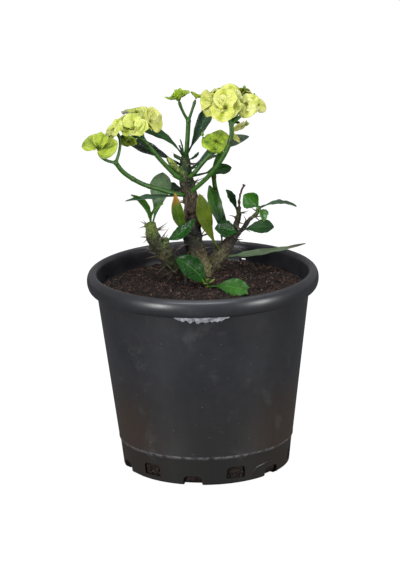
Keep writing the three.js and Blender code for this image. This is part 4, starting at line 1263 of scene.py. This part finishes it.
# the point of a leaf's middle skin at u across and v along
def leafPlace(name, leaf):
    base = onLine(stemLines[leaf["on"]], leaf["at"])[0] / mm
    chord = direction(leaf["heading"], leaf["rise"]) * leaf["length"]
    ahead = chord.normalized()
    lift = (Vector((0, 0, 1)) - ahead * ahead.z).normalized()
    aside = ahead.cross(lift)
    bow = base + chord * 0.5 + lift * 2 * leaf["arch"]
    roll = math.radians(leaf["roll"])
    face = lift * math.cos(roll) + aside * math.sin(roll)
    phase = sum(map(ord, name)) * 0.37
    waving, puckered = (0, 0.4) if leaf["small"] else (0.45, 1)

    def place(u, v):
        spot = base * (1 - v) ** 2 + bow * 2 * v * (1 - v) + (base + chord) * v * v
        run = ((bow - base) * (1 - v) + (base + chord - bow) * v).normalized()
        up = (face - run * run.dot(face)).normalized()
        across = run.cross(up)
        half = bladeHalf(leaf, v)
        onBlade = ease((v - leaf["petiole"]) / 0.12)
        breadth = half / (leaf["width"] / 2)
        wave = waving * math.sin(v * 9 + u * 2) * abs(u) * breadth
        ruffle = 0.34 * math.sin(v * 31 + phase + 1.4 * u) * abs(u) ** 3 * breadth * onBlade
        fold = leaf["fold"] * half * u * u
        groove = -0.42 * math.exp(-((u * half / 0.55) ** 2)) * onBlade * (1 - 0.6 * v)
        pucker = 0.3 * noise.noise(Vector((u * 2.6, v * 12, phase))) * onBlade * breadth * puckered
        scallop = 1 + 0.03 * math.sin(v * 44 + phase * 3) * onBlade * (abs(u) > 0.9)
        if leaf["notched"] and v > 0.9:
            spot = spot - run * 2.5 * ease((v - 0.9) / 0.1) * (1 - abs(u))
        return (spot + across * u * half * scallop + up * (fold + wave + ruffle + groove + pucker)) * mm
    return place


# blade with a stouter petiole, a lower face of its own finish, and a rounded margin
def makeLeafBlade(name, own):
    leaf = {**usualLeaf, **own}
    columns, rows = blade["smallGrid"] if leaf["small"] else blade["grid"]
    piece = shapedGrid(f"{name}_blade", columns, rows, leafPlace(name, leaf))
    thin = blade["thickness"] / blade["petiole"]
    thick = piece.vertex_groups.new(name="thick")
    for vertex in piece.data.vertices:
        v = vertex.index // (columns + 1) / rows
        share = mix(1, thin, ease((v - leaf["petiole"] * 0.7) / 0.12))
        thick.add([vertex.index], share, "REPLACE")
    pick(piece)
    addModifier(piece, "SOLIDIFY", thickness=blade["petiole"] * mm, offset=0, vertex_group="thick",
                thickness_vertex_group=0, material_offset=1, use_even_offset=False)
    divide(piece, 1)
    for material in (leafLooks[leaf["look"]], leafBelow):
        piece.data.materials.append(material)
    applyModifiers(piece)
    settle(piece, "all")
    return piece


def makeLeaves():
    for name, leaf in leaves.items():
        slotName = "leaf_yellowing" if leaf["look"] in ("orange", "yellowing") else "leaf"
        give(makeLeafBlade(name, leaf), [name], slotName)


def makeSprout():
    stem = tube("sprout_stem", stemLines["sprout"], sprout["radii"], 4)
    fuse(stem, 0.3, 2)
    paint(stem, lambda spot: alongColours(sprout["tones"], (spot.z / mm - 130) / 8))
    stem.data.materials.append(stalkSkin)
    settle(stem, "all")
    parts = [stem]
    for i, (heading, length, rise) in enumerate(sprout["leaflets"]):
        leaflet = dict(on="sprout", at=0.97, heading=heading, rise=rise, length=length,
                       width=sprout["width"], arch=-0.5, small=True, look="shoot")
        parts.append(makeLeafBlade(f"leaflet{i}", leaflet))
    give(joined(parts, "young_sprout"), ["sprout"], "shoot")


makeLeaves()
makeSprout()
print("leaves ready")

# flower stalks and blooms: a bloom's throat is at `at` and looks along its heading and rise

flowerStalks = {
    "flower_stalk_left_low": {
        "path": [(-10, 16, 200), (-16, 8, 202), (-29, 0, 208), (-43, -8, 215), (-56, -16, 226),
                 (-61, -20, 234)],
        "blooms": {
            "bloom_left_outer": dict(at=(-72.4, -32, 247.9), heading=-92, rise=60, spin=-24, bend=24,
                                     size=1.14, droop=-1),
            "bloom_left_outer_back": dict(at=(-62.4, -19, 258.5), heading=-149, rise=42, spin=22, bend=-24,
                                          size=0.72),
        },
    },
    "flower_stalk_left_high": {
        "path": [(-10, 16, 211), (-16, 11, 214), (-26, 4, 226), (-36, -2, 240), (-41, -5, 247)],
        "blooms": {
            "bloom_left_front": dict(at=(-47.5, -19, 259), heading=-99, rise=54, spin=-52, bend=26, size=1,
                                     droop=-3),
            "bloom_left_right": dict(at=(-35.5, -9.5, 261.1), heading=-40, rise=20, spin=130, bend=-25,
                                     size=0.88, droop=-3),
            "bloom_left_top": dict(at=(-45, -1, 266.5), heading=-80, rise=70, spin=5, size=0.88),
            "bloom_left_side": dict(at=(-59.6, -2, 260.1), heading=165, rise=48, spin=78, bend=8,
                                    size=0.66),
            "bloom_left_low": dict(at=(-51.7, -14.5, 247.8), heading=-118, rise=-34, spin=20, bend=18,
                                   size=0.64, green=True),
        },
    },
    "flower_stalk_middle": {
        "path": [(-11, 16, 222), (-9, 13, 242), (-8, 12, 256)],
        "blooms": {
            "bloom_middle": dict(at=(-15, 10, 273.5), heading=185, rise=76, spin=90, size=0.82, droop=-3,
                                 green=True, upright=8),
            "bud_middle": dict(at=(-2, 14, 273), heading=20, rise=70, spin=0, size=0.4, droop=-4,
                               green=True),
        },
    },
    "flower_stalk_right_front": {
        "path": [(-8, 16, 201), (-5, 10, 205), (5, 2, 216), (13, -4, 227), (20, -8, 240), (23, -9, 250),
                 (23, -9, 258)],
        "blooms": {
            "bloom_right_front": dict(at=(19.1, -22.3, 273.6), heading=-90, rise=33, spin=80, bend=18,
                                      size=1.13, droop=-3),
            "bloom_right_left": dict(at=(9.6, -11.5, 274.8), heading=-142, rise=22, spin=140, bend=34,
                                     size=0.92, droop=-3),
            "bloom_right_right": dict(at=(34, -17.3, 274.6), heading=-110, rise=24, spin=74, bend=-26,
                                      size=0.84, droop=1),
            "bloom_right_far": dict(at=(43, -4.5, 270.9), heading=-48, rise=22, spin=-14, bend=-4,
                                    size=0.66),
            "bloom_right_top": dict(at=(22, -9, 279), heading=-95, rise=48, spin=90, size=0.95),
            "bloom_right_top_left": dict(at=(9, 2, 278), heading=150, rise=48, spin=0, size=0.88),
            "bloom_right_top_right": dict(at=(34, 2, 279), heading=60, rise=55, spin=90, size=0.76),
            "bloom_right_back": dict(at=(25, 12, 274), heading=85, rise=25, spin=20, size=0.95),
            "bloom_right_low": dict(at=(30, -4, 255), heading=-45, rise=-46, spin=85, size=0.54),
        },
    },
    "flower_stalk_right_back": {
        "path": [(20, 30, 158), (17, 36, 173), (13, 36, 189), (10, 32, 204), (10, 28, 214),
                 (12, 24, 223), (15, 20, 230)],
        "blooms": {
            "bloom_low_back": dict(at=(26.5, 12, 243.5), heading=-10, rise=40, spin=90, size=0.5),
        },
    },
    "flower_stalk_low_right": {
        "path": [(-10, 15, 212), (-6, 10, 216), (1, 7, 225), (7, 6, 232)],
        "blooms": {
            "bloom_low_front": dict(at=(11.8, 4, 242.4), heading=-94, rise=44, spin=-147, bend=-24,
                                    size=0.9, green=True),
        },
    },
}
stalkLook = {
    "radius": 1.72, "pedicel": [1.3, 1.15, 1.1, 1.05, 1.1, 1.3], "throat": 1.55, "voxel": 0.32,
    "knot": (2.1, 2.1, 2.3), "stations": 90,
    "low": (0.027, 0.09, 0.009), "middle": (0.021, 0.074, 0.007), "high": (0.025, 0.09, 0.009),
    "ring": (0.03, 0.026, 0.012),
    "rings": {"flower_stalk_left_low": [0.5, 0.72], "flower_stalk_right_front": [0.83],
              "flower_stalk_right_back": [0.7], "flower_stalk_left_high": [0.9]},
}
bloomLook = {
    "reach": 12.4, "cup": 3.2, "throat": 1.55, "span": 106, "columns": 24, "rows": 12, "thickness": 0.4,
}
cupLook = {
    "radius": 1.1, "height": 1.9, "wall": 0.3, "depth": 0.7, "rounding": 0.12, "glands": 5, "stamens": 6,
}
# how each bloom is dressed: its finish, and the turn, size, drop and slope of each bract beside its pair
bloomDress = {
    "bloom_left_outer": ("olive", [(88, 0.66, -0.6, 0.75)]),
    "bloom_left_outer_back": ("yellow", [(72, 1.05, 1.2, 0.1), (160, 0.9, 0.9, 0.1),
                                         (250, 1.15, 0.4, 0.1)]),
    "bloom_left_front": ("yellow", [(76, 0.72, 1.3, 0), (262, 0.8, 1.4, -0.1)]),
    "bloom_left_right": ("pale", [(96, 0.66, 1.4, 0)]),
    "bloom_left_top": ("yellow", [(75, 0.8, 1.2, 0.1), (240, 0.76, 1.0, 0.15)]),
    "bloom_left_side": ("yellow", [(85, 1.05, 1.2, 0), (262, 0.95, 0.8, 0.1)]),
    "bloom_left_low": ("lime", [(85, 0.9, 0.8, 0.1), (265, 0.8, 0.9, 0.1)]),
    "bloom_middle": ("lime", [(80, 0.7, -0.4, 0.3)]),
    "bud_middle": ("lime", [(80, 1.1, 0.3, 0.3), (262, 1, 0.2, 0.4)]),
    "bloom_right_front": ("pale", [(66, 0.78, 1.3, 0), (286, 0.86, 1.5, -0.05)]),
    "bloom_right_left": ("pale", [(74, 0.8, 1.2, 0.05), (236, 0.84, 1.3, 0)]),
    "bloom_right_right": ("pale", [(84, 0.78, 1.3, 0), (278, 0.72, 1.2, 0.1)]),
    "bloom_right_far": ("pale", [(100, 0.7, 1.2, 0)]),
    "bloom_right_top": ("pale", [(85, 0.9, 1.2, 0), (268, 0.8, 1.1, 0.1)]),
    "bloom_right_top_left": ("pale", [(80, 0.88, 1.2, 0.05), (272, 0.84, 1.0, 0)]),
    "bloom_right_top_right": ("pale", [(80, 0.85, 1.2, 0), (255, 0.8, 1.2, 0)]),
    "bloom_right_back": ("pale", [(85, 0.85, 1.2, 0), (265, 0.85, 1.2, 0)]),
    "bloom_right_low": ("pale", [(80, 1.3, 0.4, 0.1), (262, 1.25, 0.5, 0.1)]),
    "bloom_low_back": ("pale", [(85, 1.15, 0.6, 0.1)]),
    "bloom_low_front": ("lime", [(58, 0.84, 1.1, 0.05), (112, 0.66, 0.1, 0.25), (248, 0.8, 1.2, 0.1),
                                 (300, 0.62, 0, 0.3)]),
}


# axes of a bloom: along its pair of bracts, across it, and outward; and the place of its foot
def bloomAxes(bloom):
    outward = direction(bloom["heading"], bloom["rise"])
    level = Vector((0, 0, 1)).cross(outward).normalized()
    upright = outward.cross(level)
    foot = Vector(bloom["at"]) - outward * bloomLook["cup"] * bloom["size"]
    spin = math.radians(bloom["spin"])
    pair = level * math.cos(spin) + upright * math.sin(spin)
    return pair, outward.cross(pair), outward, foot


def bractReach(angle):
    tipNotch = 1 - 0.05 * math.exp(-((angle / 0.16) ** 2))
    side = 0.42 + 0.58 * max(math.cos(angle), 0) ** 0.6
    return bloomLook["reach"] * side * tipNotch


# one bract round its side of the throat: u across its span, v from the throat to the rim
def bractPlace(bract):
    span, inner, cup = math.radians(bloomLook["span"]), bloomLook["throat"], bloomLook["cup"]
    phase = bract["phase"]
    rand = random.Random(phase)
    slope = bract["slope"] + rand.uniform(-0.07, 0.07)
    sideLift, twist, fold = rand.uniform(-0.7, 1.3), rand.uniform(-0.9, 0.9), rand.uniform(0.6, 1.2)
    paintedShading = []

    def place(u, v):
        angle = u * span
        forward, aside = math.cos(angle), math.sin(angle)
        uneven = noise.noise(Vector((forward * 1.7, aside * 1.7, phase + 9)))
        reach = max(bractReach(angle) * (1 + min(0.27 * uneven, 0.03)), 4.4) * bract["size"]
        # painted shading: darkest by the throat, then set by the fold heights below
        shade = 0.3
        droop = bract["droop"] + 1.2 * abs(aside)
        if v < 0.1:
            share = v / 0.1
            radius, height = mix(1.05, inner, share), mix(0.9, cup, ease(share))
        else:
            s = (v - 0.1) / 0.9
            rolled = ease((s - 0.76) / 0.24)
            radius = mix(inner, reach, s) - 0.35 * rolled
            ruffle = 1.2 * s * s * math.sin(2.7 * angle + phase)
            ruffle += 0.5 * s ** 3 * math.sin(7.7 * angle + phase * 2.3)
            crease = -fold * math.exp(-((angle / 0.2) ** 2)) * math.sin(math.pi * min(s * 1.1, 1)) ** 0.8
            pucker = 1.25 * noise.noise(Vector((forward * s * 3, aside * s * 3, phase))) * s
            # painted shade and highlight: raised ruffles and puckers are painted pale, the crease deep
            shade = 0.55 + 0.22 * ruffle + 0.4 * pucker + 0.5 * crease
            leaning = slope * (radius - inner) + sideLift * aside ** 2 * s * s + twist * aside * s * s
            height = (cup * (1 - s) ** 2 + 8.4 * s * (1 - s) + (4.6 - droop) * s * s - 0.8 * rolled ** 2
                      + ruffle + crease + pucker + leaning)
        overlap = 0.8 * (angle / span) ** 3 * min(v / 0.3, 1)
        paintedShading.append(min(max(shade, 0), 1))
        around = angle + math.radians(bract["turn"])
        outward = height + overlap - bract["drop"]
        return Vector((radius * math.cos(around), radius * math.sin(around), outward)) * mm
    return place, paintedShading


def makeBractPiece(finish, bract):
    place, paintedShading = bractPlace(bract)
    piece = shapedGrid("bract", bloomLook["columns"], bloomLook["rows"], place)
    # the tone carries the painted shading in red and a random paleness in green
    tone = piece.data.color_attributes.new("tone", "FLOAT_COLOR", "POINT")
    paleness = random.Random(bract["phase"] * 3).random()
    for i, shading in enumerate(paintedShading):
        tone.data[i].color = (shading, paleness, 0, 1)
    thicken(piece, bloomLook["thickness"], bractLooks[finish])
    return piece


# green cup in the throat, with its glands round the rim and its stamens
def makeCup():
    clearSelection()
    bpy.ops.mesh.primitive_cylinder_add(vertices=20, radius=cupLook["radius"] * mm,
                                        depth=cupLook["height"] * mm,
                                        location=(0, 0, cupLook["height"] / 2 * mm))
    cup = bpy.context.object
    bpy.ops.object.mode_set(mode="EDIT")
    bpy.ops.mesh.select_all(action="DESELECT")
    form = bmesh.from_edit_mesh(cup.data)
    for face in form.faces:
        if face.normal.z > 0.9:
            face.select_set(True)
    form.select_flush_mode()
    bmesh.update_edit_mesh(cup.data)
    bpy.ops.mesh.inset(thickness=cupLook["wall"] * mm)
    bpy.ops.transform.translate(value=(0, 0, -cupLook["depth"] * mm))
    bpy.ops.mesh.select_all(action="SELECT")
    bpy.ops.mesh.bevel(offset=cupLook["rounding"] * mm, segments=2, affect="EDGES")
    bpy.ops.object.mode_set(mode="OBJECT")
    cup.data.materials.append(cupGreen)
    settle(cup, 40)
    parts = [cup]
    for i in range(cupLook["glands"]):
        heading = 2 * math.pi * i / cupLook["glands"]
        parts.append(roundBit((0.92 * math.cos(heading), 0.92 * math.sin(heading), 1.95), (0.3, 0.45, 0.2),
                              heading, glandYellow))
    for i in range(cupLook["stamens"]):
        heading = 2 * math.pi * i / cupLook["stamens"] + 0.4
        away = 0.28 + 0.2 * (i % 2)
        foot = Vector((away * 0.5 * math.cos(heading), away * 0.5 * math.sin(heading), 1.0)) * mm
        tip = Vector((away * math.cos(heading), away * math.sin(heading), 2.3 + 0.3 * (i % 2))) * mm
        stamen = tube("stamen", [foot, foot.lerp(tip, 0.5), tip], [0.09, 0.08], 0)
        stamen.data.materials.append(glandYellow)
        parts.append(stamen)
        parts.append(roundBit(tuple(tip / mm), (0.17, 0.17, 0.13), 0, rustyTip))
    return joined(parts, "cup_pattern")


def roundBit(spot, radii, heading, material):
    clearSelection()
    bpy.ops.mesh.primitive_uv_sphere_add(segments=8, ring_count=5, radius=1, location=Vector(spot) * mm,
                                         scale=Vector(radii) * mm, rotation=(0, 0, heading))
    bit = bpy.context.object
    bit.data.materials.append(material)
    settle(bit, "all")
    return bit


def copyOf(pattern, matrix):
    twin = pattern.copy()
    twin.data = pattern.data.copy()
    bpy.context.scene.collection.objects.link(twin)
    twin.matrix_world = matrix
    return twin


# narrow green lobe that stands out of the throat
def lobePlace(lean, length):
    def place(u, v):
        half = 0.8 + 2.1 * math.sin(math.pi * min(v * 0.8 + 0.15, 1))
        return Vector((u * half, 0.32 * lean * v * length + 0.5 * u * u * lean, 1.3 + v * length)) * mm
    return place


def makeBloom(name, bloom, cup):
    finish, extras = bloomDress[name]
    phase = sum(map(ord, name)) * 0.61
    bend, droop, size = bloom.get("bend", 0), bloom.get("droop", 1.6), bloom["size"]
    bracts = [(bend, 1, 0, 0), (180 - bend, 1, 0, 0), *extras]
    parts = []
    for i, (turn, share, drop, slope) in enumerate(bracts):
        bract = {"turn": turn, "size": share, "drop": drop, "slope": slope, "droop": droop,
                 "phase": phase + 1.9 * i}
        parts.append(makeBractPiece(finish, bract))
    parts.append(copyOf(cup, Matrix.Identity(4)))
    if bloom.get("upright"):
        for lean in (-1, 1):
            lobe = shapedGrid("lobe", 6, 10, lobePlace(lean, bloom["upright"] / size))
            paint(lobe, lambda spot: (0.5, 0.3, 0))
            thicken(lobe, 0.5, bractLooks["lime"])
            parts.append(lobe)
    piece = joined(parts, f"{name}_bracts")
    settle(piece)
    pair, across, outward, foot = bloomAxes(bloom)
    matrix = Matrix((pair * size, across * size, outward * size)).transposed().to_4x4()
    matrix.translation = foot * mm
    piece.matrix_world = matrix
    settle(piece)
    give(piece, [name], "bract_green" if bloom.get("green") else "bract")


# short stalk from the end of a flower stalk, bowed into the foot of a bloom
def makePedicel(node, bloom):
    _, _, outward, foot = bloomAxes(bloom)
    end = foot - outward * 0.3
    elbow = end - outward * 0.45 * (node - end).length
    line = []
    for t in (k / 12 for k in range(13)):
        line.append((node * (1 - t) ** 2 + elbow * 2 * t * (1 - t) + end * t * t) * mm)
    throat = stalkLook["throat"] * min(bloom["size"], 1)
    return tube("pedicel", line, [*stalkLook["pedicel"], throat], 4)


def makeFlowerStalk(name, stalk):
    stations = stalkLook["stations"]
    rings = stalkLook["rings"].get(name, [])
    line = smoothLine(stalk["path"], stations)
    radii = [stalkLook["radius"]] * stations
    for ring in rings:
        for k in range(-2, 3):
            radii[min(int(ring * stations) + k, stations - 1)] += 0.32 * math.exp(-(k / 1.3) ** 2)
    forms = [tube(name, line, radii, 5)]
    node = Vector(stalk["path"][-1])
    for bloom in stalk["blooms"].values():
        forms.append(makePedicel(node, bloom))
    forms.append(roundBit(tuple(node), stalkLook["knot"], 0, stalkSkin))
    piece = joined(forms, f"{name}_skin")
    settle(piece)
    fuse(piece, stalkLook["voxel"], 5)
    length = lineLength(line)
    tones = [stalkLook[height] for height in ("low", "middle", "middle", "high")]

    def shade(spot):
        near = min(range(0, stations + 1, 3), key=lambda k: (line[k] - spot).length_squared)
        share = near / stations
        tone = alongColours(tones, share)
        away = (spot - line[-1]).length / mm
        if share > 0.97:
            tone = mixColour(tone, stalkLook["middle"], ease(away / 14))
        for ring in rings:
            close = ease(1 - abs(share - ring) * length / mm / 2.6)
            tone = mixColour(tone, stalkLook["ring"], 0.8 * close)
        return tone
    paint(piece, shade)
    settle(piece, "all")
    give(piece, [name], "stalk", stalkSkin)


# buds beside the heads, each with its spot, size and heading, and a withered bract on the left head
youngBuds = [
    ((33, -6, 284), 1.7, 20), ((40, -2, 277.5), 1.5, 70), ((34, -4, 257), 1.6, -30),
    ((2, 8, 247), 1.6, 160), ((2.5, 8, 243.5), 1.4, 200),
]
witheredBract = {"at": (-53.5, -10, 268.6), "radius": 1.4, "length": 6}


def witheredPlace(u, v):
    turn = 3.6 * v - 1
    radius = witheredBract["radius"] * (1 - 0.35 * v) * (1 + 0.12 * math.sin(5 * v + 3 * u))
    level = witheredBract["length"] / 2 * u * (1 - 0.3 * abs(v - 0.5))
    away = Vector((level, radius * math.cos(turn), radius * math.sin(turn) + 0.5 * math.sin(4 * u + v)))
    return (Vector(witheredBract["at"]) + away) * mm


def makeYoungBuds():
    parts = []
    for spot, size, heading in youngBuds:
        radii = (size * 0.75, size * 0.7, size * 1.15)
        bud = roundBit(spot, radii, math.radians(heading), stalkSkin)
        paint(bud, lambda spot: (0.1, 0.2, 0.02))
        parts.append(bud)
    curl = shapedGrid("withered_bract", 10, 14, witheredPlace)
    thicken(curl, 0.4, witheredGrey)
    parts.append(curl)
    give(joined(parts, "young_buds"), [], "bract_green")


cupPattern = makeCup()
for name, stalk in flowerStalks.items():
    makeFlowerStalk(name, stalk)
    for title, bloom in stalk["blooms"].items():
        makeBloom(title, bloom, cupPattern)
discard(cupPattern)
makeYoungBuds()
print("flowers ready")
